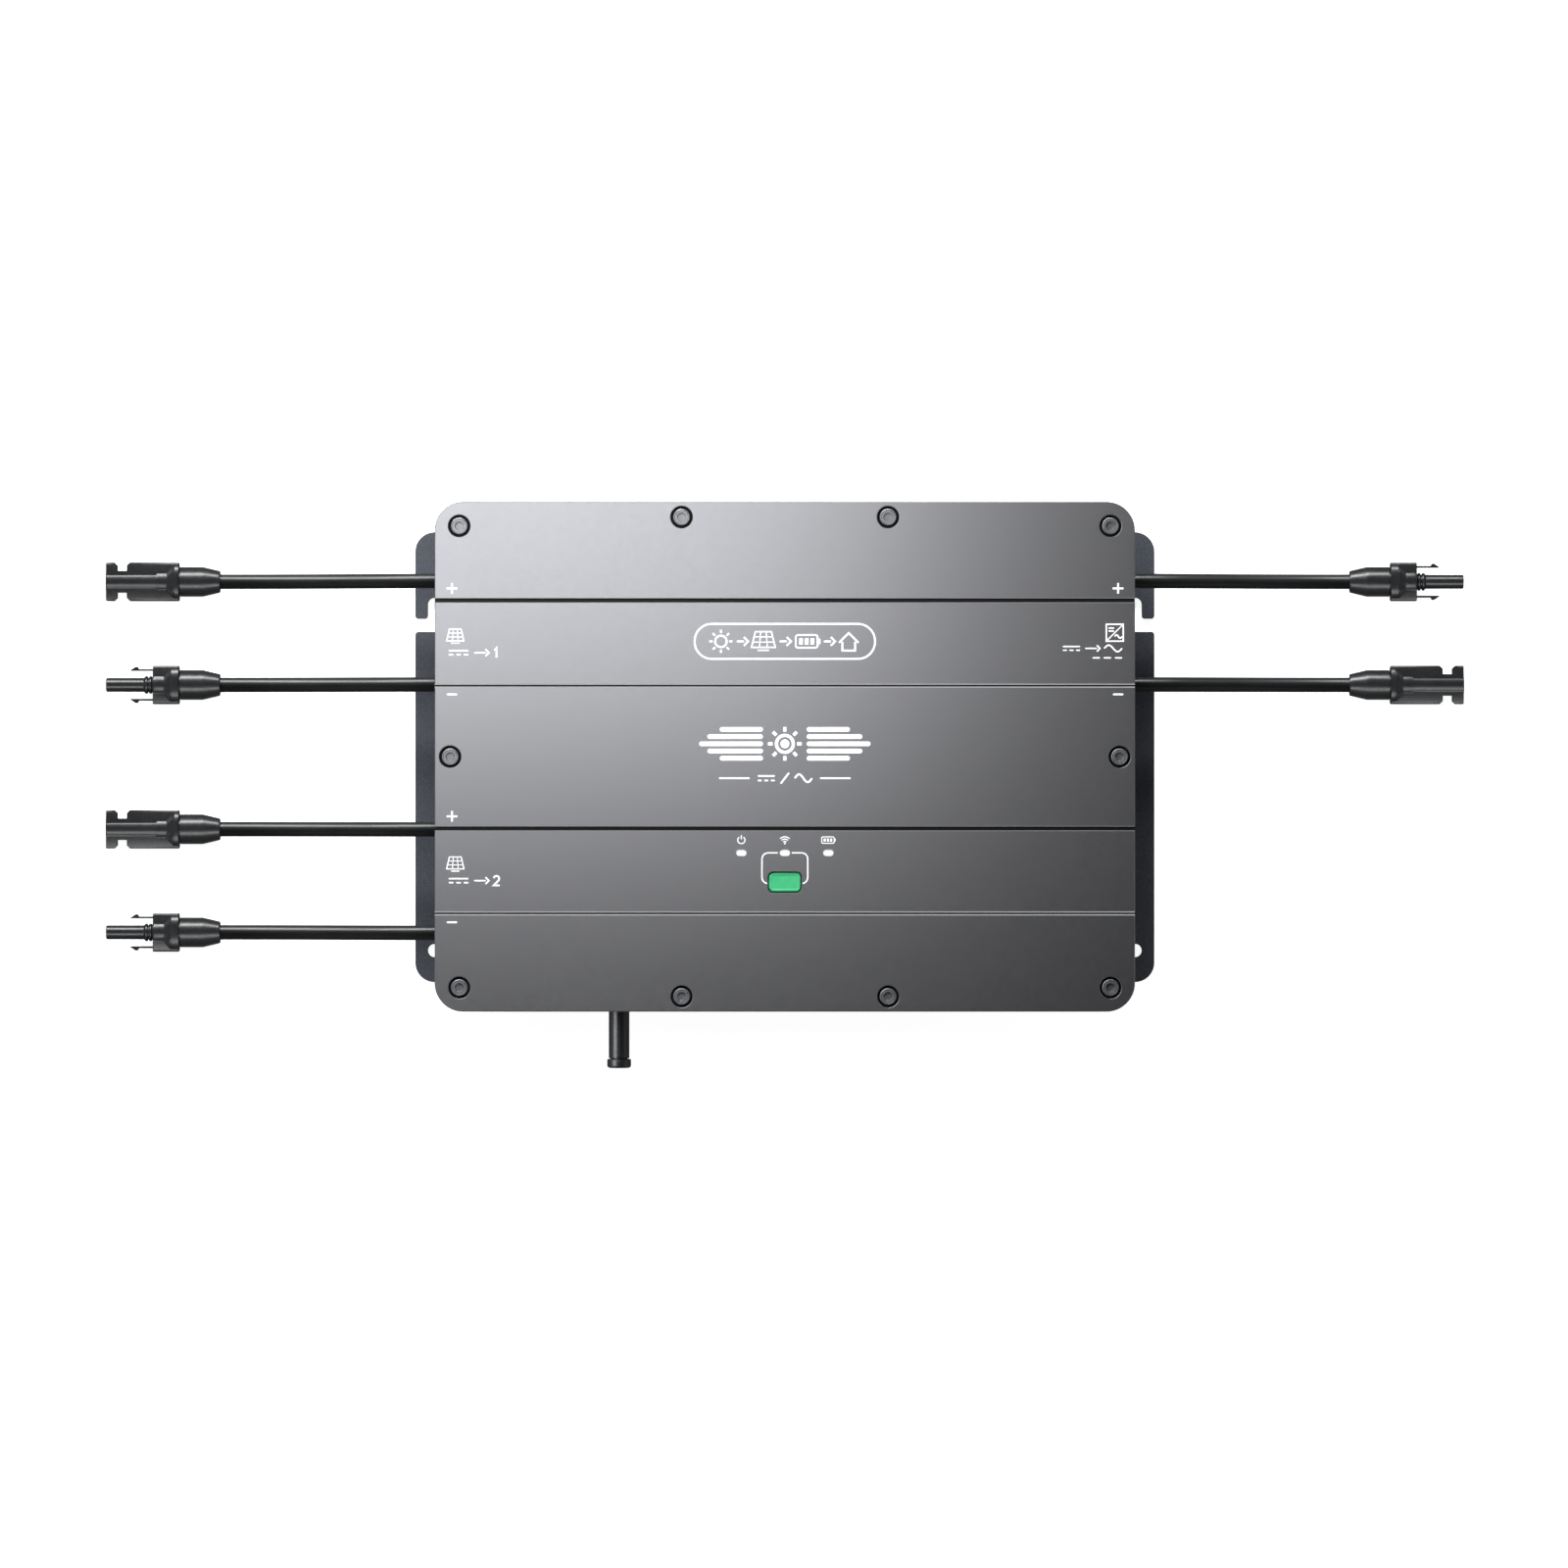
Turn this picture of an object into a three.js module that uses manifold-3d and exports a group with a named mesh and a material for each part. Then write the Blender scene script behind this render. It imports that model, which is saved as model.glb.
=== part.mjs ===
// A weatherproof solar hub: a flat two-shell aluminium case on a steel wall bracket, with six short
// leads that end in latching single-pole solar connectors, a stub antenna, a push button and three lamps.
// Millimetres. The case lies on its back: +Z is the front face's normal, +Y is up once it hangs on a wall,
// and the origin is the middle of the bracket's wall face.
import * as THREE from "three";
import { mergeVertices } from "three/addons/utils/BufferGeometryUtils.js";
import Module from "manifold-3d";

const wasm = await Module();
wasm.setup();

// ---- Driving dimensions ----
const GAP = 0.3; // between pieces that touch on the real object
const FINE = 16; // segments round a turned piece
const COARSE = 12; // segments round a small hole or screw
const OVER = 1; // how far a cutter runs past the surface that it opens

const CASE = { width: 339.8, height: 247.4, corner: 13.8, edge: 0.7, front: 64 };
const COVER = { back: 51.7, wall: 5, pocketWidth: 298, pocketHeight: 204, pocketCorner: 8 };
const FLANGE = { back: 43.3, front: COVER.back - 0.4 };
const TUB = { width: 316, height: 222, corner: 10, back: 14, floor: 3.5, wall: 4 };
const FIN = { back: 4, thick: 2.2, pitch: 14, count: 21, length: 200 };
const GASKET = { x: 156.6, y: 110.2, corner: 10, width: 2.2, groove: 3, back: 50, depth: 1.3 };

const GROOVE_WIDE = { y: [75.9, -34.8], slot: 2, depth: 2.6, chamfer: 0.35 };
const GROOVE_THIN = { y: [34.5, -76], slot: 0.8, depth: 1.9, chamfer: 0.6 };

const COVER_SCREW = { head: 4.2, headLength: 5, shank: 2.5, length: 13.5, key: 4, keyDepth: 2.6, seat: 58 };
const SCREW_HOLE = { head: 5.3, shank: 2.8 };
const SCREW_AT = [
  ...[-1, 1].flatMap((x) => [-1, 1].map((y) => [158 * x, 112 * y])),
  ...[-1, 1].flatMap((x) => [-1, 1].map((y) => [50.1 * x, 116.3 * y])),
  [-162.4, 0],
  [162.4, 0],
];

const BRACKET = { width: 363, height: 221, thick: 2.5, corner: 10, small: 1.4 };
const WALL_HOLE = { x: 172.1, radius: 3.2, seatY: 75, entryY: 64.75, lowerY: -95 };
const BOSS = { x: 120, y: 80, radius: 6, hole: 2.3, depth: 9 };
const FLAT_SCREW = { head: 4, headDepth: 2, shank: 2, tip: 10.5, key: 2.5, keyDepth: 1.3, clear: 0.4 };

const BUTTON = { y: -60.9, width: 15.7, height: 9.6, corner: 2.3, clear: 0.35, top: 63.5, travel: 1 };
const LAMP = { x: 21.1, y: -46.6, width: 4.6, height: 2.7, clear: 0.25, foot: 53.9, top: 63.6 };
const UI_BOARD = { width: 66, height: 40, y: -56, back: 51.9, thick: 1.4 };
const SWITCH_TOP = 55; // the tact switch under the button
const MAIN_BOARD = { width: 270, height: 180, back: 26.3, thick: 1.6, postX: 125, postY: 82 };

const LEAD = { radius: 3.6, exitHeight: 27, arcSteps: 5, steps: 18 };
const ROW_Y = { outer: 86, inner: 35.4 }; // the leads leave the case in rows at these heights, + and -
const GLAND = { flange: 6.6, shank: 5.2, nose: 4.8, bore: 3.95, inner: 150, outer: 167.5 };
const CONNECTOR = { cableEnd: 277, restHeight: 7.5, nutLength: 19.7, length: 56, half: 9.6 };
const NUT = { bore: 4, tail: 5.4, radius: 7.3 }; // the back nut tapers from its body to its tail

const WALL_SHANK = 4; // the radius of what goes through the bottom wall: the antenna's jack, the vent
const JACK = { thread: 3.3, reach: 9.5, collar: 3.6, inside: 8, nutFlats: 14 };
const ANTENNA = {
  x: -81,
  height: 27,
  radius: 5.05,
  socket: 6.2, // how deep the rod is bored for the jack
  spigot: 4.15,
  cap: 5.85,
  capLength: 4.4,
  tip: -152,
};
const PORT = {
  x: 62,
  height: 29,
  flange: [34, 15, 2.4], // width, depth and thickness against the wall
  shank: [28, 11],
  socket: [22, 6.6],
  inside: 14,
};
const VENT = { x: -20, height: 29, radius: 6, cap: 3.2, inside: 7 };

// A lead's route in the plane of its row: [distance from the case's middle, height].
// It leaves its gland level, sinks under its own weight and runs level into the connector.
const LEAD_ROUTE = [
  [152, 27],
  [157, 27],
  [162, 27],
  [167.5, 27],
  [174, 26.8],
  [182, 26],
  [191, 24.4],
  [200, 22],
  [209, 19.3],
  [218, 16.6],
  [227, 14.1],
  [236, 11.9],
  [245, 10.1],
  [254, 8.7],
  [263, 7.8],
  [271, 7.5],
  [277, 7.5],
  [283, 7.5],
  [290, 7.5],
];

// ---- Materials ----
const finish = (color, roughness, metalness) =>
  new THREE.MeshStandardMaterial({ color, roughness, metalness });
const MATERIAL = {
  anodised: finish(0x77797f, 0.38, 0.85),
  casting: finish(0x4b4e54, 0.55, 0.7),
  bracket: finish(0x3a3d44, 0.7, 0.4),
  screw: finish(0x6a6c70, 0.35, 0.9),
  steel: finish(0x9a9a9c, 0.4, 0.9),
  connector: finish(0x26282a, 0.5, 0),
  cable: finish(0x1f2122, 0.45, 0),
  rubber: finish(0x1a1b1c, 0.8, 0),
  button: finish(0x35c98a, 0.45, 0),
  lens: finish(0xf4f5f7, 0.3, 0),
  board: finish(0x1f6b45, 0.6, 0),
  copper: finish(0xa8683a, 0.45, 0.6),
  antenna: finish(0x3a3b3e, 0.5, 0),
};

// ---- Solids ----
// A closed three.js geometry as a manifold solid: shared vertices are merged on position alone.
function solid(geometry) {
  const bare = geometry.index ? geometry.toNonIndexed() : geometry.clone();
  bare.deleteAttribute("normal");
  bare.deleteAttribute("uv");
  const merged = mergeVertices(bare, 1e-4);
  const mesh = new wasm.Mesh({
    numProp: 3,
    vertProperties: merged.attributes.position.array,
    triVerts: new Uint32Array(merged.index.array),
  });
  return new wasm.Manifold(mesh);
}

function geometryOf(manifold) {
  const mesh = manifold.getMesh();
  const geometry = new THREE.BufferGeometry();
  geometry.setAttribute("position", new THREE.BufferAttribute(mesh.vertProperties, mesh.numProp));
  geometry.setIndex(new THREE.BufferAttribute(mesh.triVerts, 1));
  geometry.computeVertexNormals();
  return geometry;
}

const join = (...pieces) => pieces.reduce((whole, piece) => whole.add(piece));
const cut = (body, ...tools) => tools.reduce((left, tool) => left.subtract(tool), body);

// A box from its lowest corner to its highest.
function block(low, high) {
  const size = high.map((value, i) => value - low[i]);
  const middle = high.map((value, i) => (value + low[i]) / 2);
  return solid(new THREE.BoxGeometry(...size).translate(...middle));
}

// A closed outline from corners [x, y, radius], each rounded by an arc of its radius.
function outline(corners) {
  const shape = new THREE.Shape();
  const at = (i) => new THREE.Vector2(...corners.at(i % corners.length));
  corners.forEach(([, , radius], i) => {
    const corner = at(i);
    const back = at(i + corners.length - 1).sub(corner).normalize();
    const ahead = at(i + 1).sub(corner).normalize();
    const half = Math.acos(back.dot(ahead)) / 2;
    const start = corner.clone().addScaledVector(back, radius / Math.tan(half));
    const bisector = back.clone().add(ahead).normalize();
    const centre = corner.clone().addScaledVector(bisector, radius / Math.sin(half));
    const clockwise = back.cross(ahead) > 0;
    const from = start.clone().sub(centre).angle();
    const sweep = (clockwise ? -1 : 1) * (Math.PI - 2 * half);
    if (i === 0) shape.moveTo(start.x, start.y);
    else shape.lineTo(start.x, start.y);
    if (radius > 0) shape.absarc(centre.x, centre.y, radius, from, from + sweep, clockwise);
  });
  return shape;
}

function roundRect(width, height, radius, x = 0, y = 0) {
  const [w, h] = [width / 2, height / 2];
  return outline([
    [x + w, y - h, radius],
    [x + w, y + h, radius],
    [x - w, y + h, radius],
    [x - w, y - h, radius],
  ]);
}

// An outline in XY pulled up from low to high; edge rounds both rims off.
function prism(shape, low, high, edge = 0, curveSegments = 3) {
  const bevel = { bevelSize: edge, bevelOffset: -edge, bevelThickness: edge, bevelSegments: 1 };
  const depth = high - low - 2 * edge;
  const options = { depth, curveSegments, bevelEnabled: edge > 0, ...bevel };
  return solid(new THREE.ExtrudeGeometry(shape, options).translate(0, 0, low + edge));
}

// The same with its outline in YZ, pulled along X, for sections across a connector.
function prismX(shape, low, high, curveSegments = 2) {
  const options = { depth: high - low, curveSegments, bevelEnabled: false };
  const geometry = new THREE.ExtrudeGeometry(shape, options);
  const turn = new THREE.Matrix4().set(0, 0, 1, low, 1, 0, 0, 0, 0, 1, 0, 0, 0, 0, 0, 1);
  return solid(geometry.applyMatrix4(turn));
}

// A profile of [radius, distance along the axis] turned about Z, X or Y.
function turned(profile, axis = "z", segments = FINE) {
  const points = profile.map(([radius, along]) => new THREE.Vector2(radius, along));
  const geometry = new THREE.LatheGeometry(points, segments);
  if (axis === "z") geometry.rotateX(Math.PI / 2);
  if (axis === "x") geometry.rotateZ(-Math.PI / 2);
  return solid(geometry);
}

// A straight round bar or drill along an axis, from one distance to another.
function rod(radius, low, high, axis = "z", segments = COARSE) {
  const profile = [
    [0, low],
    [radius, low],
    [radius, high],
    [0, high],
  ];
  return turned(profile, axis, segments);
}

function hexBar(acrossFlats, low, high) {
  const radius = acrossFlats / Math.sqrt(3);
  const geometry = new THREE.CylinderGeometry(radius, radius, high - low, 6);
  return solid(geometry.rotateX(Math.PI / 2).translate(0, 0, (low + high) / 2));
}

// ---- The scene graph ----
const hub = new THREE.Group();

function place(parent, name, manifold, material, position = [0, 0, 0]) {
  const mesh = new THREE.Mesh(geometryOf(manifold), material);
  mesh.name = name;
  mesh.position.set(...position);
  parent.add(mesh);
  return mesh;
}

// ---- Front cover ----
// A groove across the face: a slot with a chamfer along each rim.
function grooveCutter(y, { slot, depth, chamfer }) {
  const [half, top, over] = [slot / 2, CASE.front, 1];
  const section = new THREE.Shape([
    new THREE.Vector2(y - half, top - depth),
    new THREE.Vector2(y + half, top - depth),
    new THREE.Vector2(y + half, top - chamfer),
    new THREE.Vector2(y + half + chamfer + over, top + over),
    new THREE.Vector2(y - half - chamfer - over, top + over),
    new THREE.Vector2(y - half, top - chamfer),
  ]);
  return prismX(section, -CASE.width, CASE.width);
}

function screwSeatCutter([x, y]) {
  const { head, shank } = SCREW_HOLE;
  const profile = [
    [0, FLANGE.back - 1],
    [shank, FLANGE.back - 1],
    [shank, COVER_SCREW.seat],
    [head, COVER_SCREW.seat],
    [head, CASE.front + 1],
    [0, CASE.front + 1],
  ];
  return turned(profile, "z", COARSE).translate([x, y, 0]);
}

function frontCover() {
  const { width, height, corner, edge, front } = CASE;
  const plate = prism(roundRect(width, height, corner), COVER.back, front, edge, 5);
  const inner = front - COVER.wall;
  const pocket = roundRect(COVER.pocketWidth, COVER.pocketHeight, COVER.pocketCorner);
  const { clear } = BUTTON;
  const buttonHole = roundRect(
    BUTTON.width + 2 * clear,
    BUTTON.height + 2 * clear,
    BUTTON.corner + clear,
    0,
    BUTTON.y,
  );
  const lampHeight = LAMP.height + 2 * LAMP.clear;
  const lampHoles = [-1, 0, 1].map((side) =>
    roundRect(LAMP.width + 2 * LAMP.clear, lampHeight, lampHeight / 2, side * LAMP.x, LAMP.y),
  );
  const shell = cut(
    plate,
    prism(pocket, COVER.back - 1, inner),
    ...GROOVE_WIDE.y.map((y) => grooveCutter(y, GROOVE_WIDE)),
    ...GROOVE_THIN.y.map((y) => grooveCutter(y, GROOVE_THIN)),
    ...SCREW_AT.map(screwSeatCutter),
    ...[buttonHole, ...lampHoles].map((hole) => prism(hole, inner - 1, front + 1)),
  );
  const boardPosts = [-1, 1].flatMap((x) =>
    [-1, 1].map((y) =>
      rod(2.2, UI_BOARD.back + UI_BOARD.thick + GAP, inner + 0.5, "z", 8).translate([
        x * (UI_BOARD.width / 2 - 5),
        UI_BOARD.y + y * (UI_BOARD.height / 2 - 5),
        0,
      ]),
    ),
  );
  return join(shell, ...boardPosts);
}

place(hub, "front_cover", frontCover(), MATERIAL.anodised);

// ---- Rear housing ----
const TUB_SIDE = TUB.width / 2;
const TUB_END = TUB.height / 2;
const LEADS = [
  { name: "pv1_plus", side: -1, y: ROW_Y.outer, kind: "socket" },
  { name: "pv1_minus", side: -1, y: ROW_Y.inner, kind: "plug" },
  { name: "pv2_plus", side: -1, y: -ROW_Y.inner, kind: "socket" },
  { name: "pv2_minus", side: -1, y: -ROW_Y.outer, kind: "plug" },
  { name: "out_plus", side: 1, y: ROW_Y.outer, kind: "plug" },
  { name: "out_minus", side: 1, y: ROW_Y.inner, kind: "socket" },
];
const HOLE_CLEAR = 0.35; // between a fitting's shank and its hole in the housing wall
const DRILLED = 9; // how deep the holes in the housing's walls are cut, well past the walls

function housingFins() {
  const first = (-(FIN.count - 1) / 2) * FIN.pitch;
  return Array.from({ length: FIN.count }, (_, i) => {
    const x = first + i * FIN.pitch;
    const [half, end] = [FIN.thick / 2, FIN.length / 2];
    return block([x - half, -end, FIN.back], [x + half, end, TUB.back + 1]);
  });
}

// The same piece at each of four places, (+x, +y) to (-x, -y).
const atFour = (piece, x, y) =>
  [-1, 1].flatMap((sx) => [-1, 1].map((sy) => piece.translate([sx * x, sy * y, 0])));

function rearHousing() {
  const floorTop = TUB.back + TUB.floor;
  const rim = roundRect(CASE.width, CASE.height, CASE.corner);
  const flange = prism(rim, FLANGE.back, FLANGE.front, CASE.edge, 5);
  const tub = prism(roundRect(TUB.width, TUB.height, TUB.corner), TUB.back, FLANGE.back + 1);
  const hollow = roundRect(
    TUB.width - 2 * TUB.wall,
    TUB.height - 2 * TUB.wall,
    TUB.corner - TUB.wall,
  );
  const { x, y, corner, groove } = GASKET;
  const floor = GASKET.back - 0.2;
  const grooveRing = cut(
    prism(roundRect(2 * x + groove, 2 * y + groove, corner + groove / 2), floor, FLANGE.front + OVER),
    prism(roundRect(2 * x - groove, 2 * y - groove, corner - groove / 2), floor - OVER, COVER.back + OVER),
  );
  const bossBack = BRACKET.thick + GAP;
  const boss = rod(BOSS.radius, bossBack, TUB.back + OVER);
  const screwHole = rod(SCREW_HOLE.shank, FLANGE.back - OVER, CASE.front);
  const wallHole = rod(WALL_SHANK + HOLE_CLEAR, -TUB_END - OVER, -TUB_END + DRILLED, "y", FINE);
  const shell = cut(
    join(flange, tub, ...housingFins(), ...atFour(boss, BOSS.x, BOSS.y)),
    prism(hollow, floorTop, FLANGE.front + OVER),
    grooveRing,
    ...SCREW_AT.map(([sx, sy]) => screwHole.translate([sx, sy, 0])),
    ...atFour(rod(BOSS.hole, bossBack - OVER, bossBack + BOSS.depth), BOSS.x, BOSS.y),
    ...LEADS.map((lead) => {
      const drill = rod(GLAND.shank + HOLE_CLEAR, TUB_SIDE - DRILLED, TUB_SIDE + OVER, "x", FINE);
      const aimed = lead.side > 0 ? drill : drill.mirror([1, 0, 0]);
      return aimed.translate([0, lead.y, LEAD.exitHeight]);
    }),
    wallHole.translate([ANTENNA.x, 0, ANTENNA.height]),
    wallHole.translate([VENT.x, 0, VENT.height]),
    portBlock(
      PORT.shank.map((size) => size + 2 * HOLE_CLEAR),
      -TUB_END - OVER,
      -TUB_END + DRILLED,
    ),
  );
  const { back, postX, postY } = MAIN_BOARD;
  const posts = atFour(rod(4, floorTop - 0.5, back - GAP, "z", COARSE), postX, postY);
  return join(shell, ...posts);
}

// A block with round ends, across the bottom wall at the battery port.
function portBlock([width, depth], low, high, corner = 2.5) {
  const shape = roundRect(width, depth, corner);
  const options = { depth: high - low, curveSegments: 2, bevelEnabled: false };
  const geometry = new THREE.ExtrudeGeometry(shape, options);
  return solid(geometry.rotateX(Math.PI / 2).translate(PORT.x, high, PORT.height));
}

place(hub, "rear_housing", rearHousing(), MATERIAL.casting);

// ---- Cover gasket: a rubber cord in the flange's groove ----
function coverGasket() {
  const { x, y, corner, width, back, depth } = GASKET;
  const outer = roundRect(2 * x + width, 2 * y + width, corner + width / 2);
  const inner = roundRect(2 * x - width, 2 * y - width, corner - width / 2);
  return cut(prism(outer, back, back + depth), prism(inner, back - 1, back + depth + 1));
}

place(hub, "cover_gasket", coverGasket(), MATERIAL.rubber);

// ---- Cover screws: socket head cap screws, sunk in the cover ----
function coverScrew() {
  const { head, headLength, shank, length, key, keyDepth, seat } = COVER_SCREW;
  const headBack = seat + GAP;
  const top = headBack + headLength;
  const body = turned(
    [
      [0, headBack - length],
      [shank, headBack - length],
      [shank, headBack],
      [head, headBack],
      [head, top],
      [0, top],
    ],
    "z",
    COARSE,
  );
  return cut(body, hexBar(key, top - keyDepth, top + OVER));
}

SCREW_AT.forEach(([x, y], i) => {
  const name = `cover_screw_${String(i + 1).padStart(2, "0")}`;
  place(hub, name, coverScrew(), MATERIAL.screw, [x, y, 0]);
});

// ---- Wall bracket: a steel plate with two open hanging slots and two screw holes ----
// Each upper slot is entered from the side and then runs up, so that the hub drops onto its wall screws.
function bracketOutline() {
  const [w, h] = [BRACKET.width / 2, BRACKET.height / 2];
  const { x, radius, seatY, entryY } = WALL_HOLE;
  const { corner, small } = BRACKET;
  const right = [
    [w, -h, corner],
    [w, entryY - radius, small],
    [x - radius, entryY - radius, radius],
    [x - radius, seatY + radius, radius],
    [x + radius, seatY + radius, radius],
    [x + radius, entryY + radius, small],
    [w, entryY + radius, small],
    [w, h, corner],
  ];
  const left = right.map(([px, py, radiusAt]) => [-px, py, radiusAt]).reverse();
  return outline([...right, ...left]);
}

function flatScrewSeat() {
  const { head, headDepth, shank, clear } = FLAT_SCREW;
  return turned(
    [
      [0, -OVER],
      [head + clear + OVER, -OVER],
      [shank + clear, headDepth + GAP],
      [shank + clear, BRACKET.thick + OVER],
      [0, BRACKET.thick + OVER],
    ],
    "z",
    COARSE,
  );
}

function mountingBracket() {
  const { x, radius, lowerY } = WALL_HOLE;
  const lowerHole = rod(radius, -OVER, BRACKET.thick + OVER, "z", FINE);
  return cut(
    prism(bracketOutline(), 0, BRACKET.thick),
    ...[-1, 1].map((side) => lowerHole.translate([side * x, lowerY, 0])),
    ...atFour(flatScrewSeat(), BOSS.x, BOSS.y),
  );
}

place(hub, "mounting_bracket", mountingBracket(), MATERIAL.bracket);

function bracketScrew() {
  const { head, headDepth, shank, tip, key, keyDepth } = FLAT_SCREW;
  const back = 0.2;
  const body = turned(
    [
      [0, back],
      [head, back],
      [shank, back + headDepth],
      [shank, tip],
      [0, tip],
    ],
    "z",
    COARSE,
  );
  return cut(body, hexBar(key, back - OVER, back + keyDepth));
}

[-1, 1].forEach((x) =>
  [-1, 1].forEach((y) => {
    const name = `bracket_screw_${y > 0 ? "upper" : "lower"}_${x > 0 ? "right" : "left"}`;
    place(hub, name, bracketScrew(), MATERIAL.steel, [x * BOSS.x, y * BOSS.y, 0]);
  }),
);

// ---- Antenna: a jack in the bottom wall, a rod screwed onto it and a cap on the rod's end ----
function antennaJack() {
  const { thread, reach, collar, inside, nutFlats } = JACK;
  const stub = turned(
    [
      [0, -TUB_END - reach],
      [thread, -TUB_END - reach],
      [thread, -TUB_END - collar],
      [WALL_SHANK, -TUB_END - collar],
      [WALL_SHANK, -TUB_END + inside],
      [0, -TUB_END + inside],
    ],
    "y",
    COARSE,
  );
  const nut = hexBar(nutFlats, 0, collar).rotate([90, 0, 0]).translate([0, -TUB_END - GAP, 0]);
  return join(stub, nut);
}

// The rod's upper end is bored for the jack's thread, and its lower end is turned down for the cap.
function antennaRod() {
  const { radius, tip, capLength, spigot } = ANTENNA;
  const base = -TUB_END - JACK.collar - 2 * GAP;
  const shoulder = tip + capLength + GAP;
  const body = turned(
    [
      [0, tip + 1.5],
      [spigot, tip + 1.5],
      [spigot, shoulder],
      [radius, shoulder],
      [radius, base - 0.4],
      [radius - 0.4, base],
      [0, base],
    ],
    "y",
  );
  const threadBore = rod(JACK.thread + HOLE_CLEAR, base - ANTENNA.socket, base + OVER, "y", FINE);
  return cut(body, threadBore);
}

function antennaEndCap() {
  const { spigot, cap, tip, capLength } = ANTENNA;
  const bore = spigot + HOLE_CLEAR;
  const [floor, top] = [tip + 1.1, tip + capLength];
  return turned(
    [
      [0, tip],
      [cap - 1, tip],
      [cap - 0.3, tip + 0.35],
      [cap, tip + 1],
      [cap, top - 0.5],
      [cap - 0.5, top],
      [bore, top],
      [bore, floor],
      [0, floor],
    ],
    "y",
  );
}

const antenna = new THREE.Group();
antenna.position.set(ANTENNA.x, 0, ANTENNA.height);
hub.add(antenna);
place(antenna, "antenna_jack", antennaJack(), MATERIAL.steel);
place(antenna, "antenna_rod", antennaRod(), MATERIAL.antenna);
place(antenna, "antenna_end_cap", antennaEndCap(), MATERIAL.antenna);

// ---- Battery port: a panel socket in the bottom wall, with its contact chamber open downwards ----
function batteryPort() {
  const outer = -TUB_END - GAP;
  const { flange, shank, socket, inside } = PORT;
  const plate = portBlock(flange, outer - flange[2], outer, 4);
  const body = portBlock(shank, outer - 0.1, -TUB_END + inside);
  const chamber = portBlock(socket, outer - flange[2] - OVER, -TUB_END + DRILLED, 1.5);
  return cut(join(plate, body), chamber);
}

place(hub, "battery_port", batteryPort(), MATERIAL.connector);

// ---- Vent plug: a breather with a domed cap ----
function ventPlug() {
  const wall = -TUB_END - GAP;
  const { radius, cap, inside } = VENT;
  return turned(
    [
      [0, wall - cap],
      [radius - 1.5, wall - cap],
      [radius, wall - cap + 1],
      [radius, wall],
      [WALL_SHANK, wall],
      [WALL_SHANK, -TUB_END + inside],
      [0, -TUB_END + inside],
    ],
    "y",
    FINE,
  );
}

place(hub, "vent_plug", ventPlug(), MATERIAL.rubber, [VENT.x, 0, VENT.height]);

// ---- Button, light guide and the small board that they work on ----
function pushButton() {
  const { width, height, corner, top } = BUTTON;
  const inner = CASE.front - COVER.wall;
  const cap = prism(roundRect(width, height, corner, 0, BUTTON.y), inner - 1, top, 0.6);
  const stopBack = inner - 1.7;
  const stop = prism(roundRect(width + 3, height + 3, corner, 0, BUTTON.y), stopBack, inner - GAP);
  const stemEnd = SWITCH_TOP + BUTTON.travel + GAP;
  const stem = rod(2, stemEnd, stopBack + 0.2, "z", COARSE).translate([0, BUTTON.y, 0]);
  return join(cap, stop, stem);
}

function lightGuide() {
  const webBack = LAMP.foot + 2.6;
  const web = block([-LAMP.x - 4, LAMP.y - 3, webBack], [LAMP.x + 4, LAMP.y + 3, webBack + 2]);
  const posts = [-1, 0, 1].map((side) =>
    prism(
      roundRect(LAMP.width, LAMP.height, LAMP.height / 2, side * LAMP.x, LAMP.y),
      LAMP.foot,
      LAMP.top,
      0,
      2,
    ),
  );
  return join(web, ...posts);
}

function uiBoard() {
  const { width, height, y, back, thick } = UI_BOARD;
  const top = back + thick;
  const board = prism(roundRect(width, height, 2, 0, y), back, top);
  const button = block([-3, BUTTON.y - 3, top - 0.1], [3, BUTTON.y + 3, SWITCH_TOP]);
  const lamps = [-1, 0, 1].map((side) => {
    const x = side * LAMP.x;
    return block([x - 1.6, LAMP.y - 0.8, top - 0.1], [x + 1.6, LAMP.y + 0.8, top + 0.3]);
  });
  return join(board, button, ...lamps);
}

place(hub, "push_button", pushButton(), MATERIAL.button);
place(hub, "light_guide", lightGuide(), MATERIAL.lens);
place(hub, "button_board", uiBoard(), MATERIAL.board);

// ---- Power electronics ----
// The main board carries its soldered capacitors, transistors, terminals and radio module.
const CAPACITOR = { x: [-60, -36, 36, 60], y: 40, radius: 9, height: 21 };
const TRANSISTOR = { first: -98, pitch: 28, count: 8, size: [10, 16, 4.5] };
const TERMINAL = { inset: 9, size: [12, 12, 9] };
const RADIO = { x: -80, y: -75, size: [24, 18, 3] };
const INDUCTOR = { x: 48, y: -48, outer: 17, inner: 7, height: 15, round: 2.5 };
const SPREADER = { width: 216, height: 20 };

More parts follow.
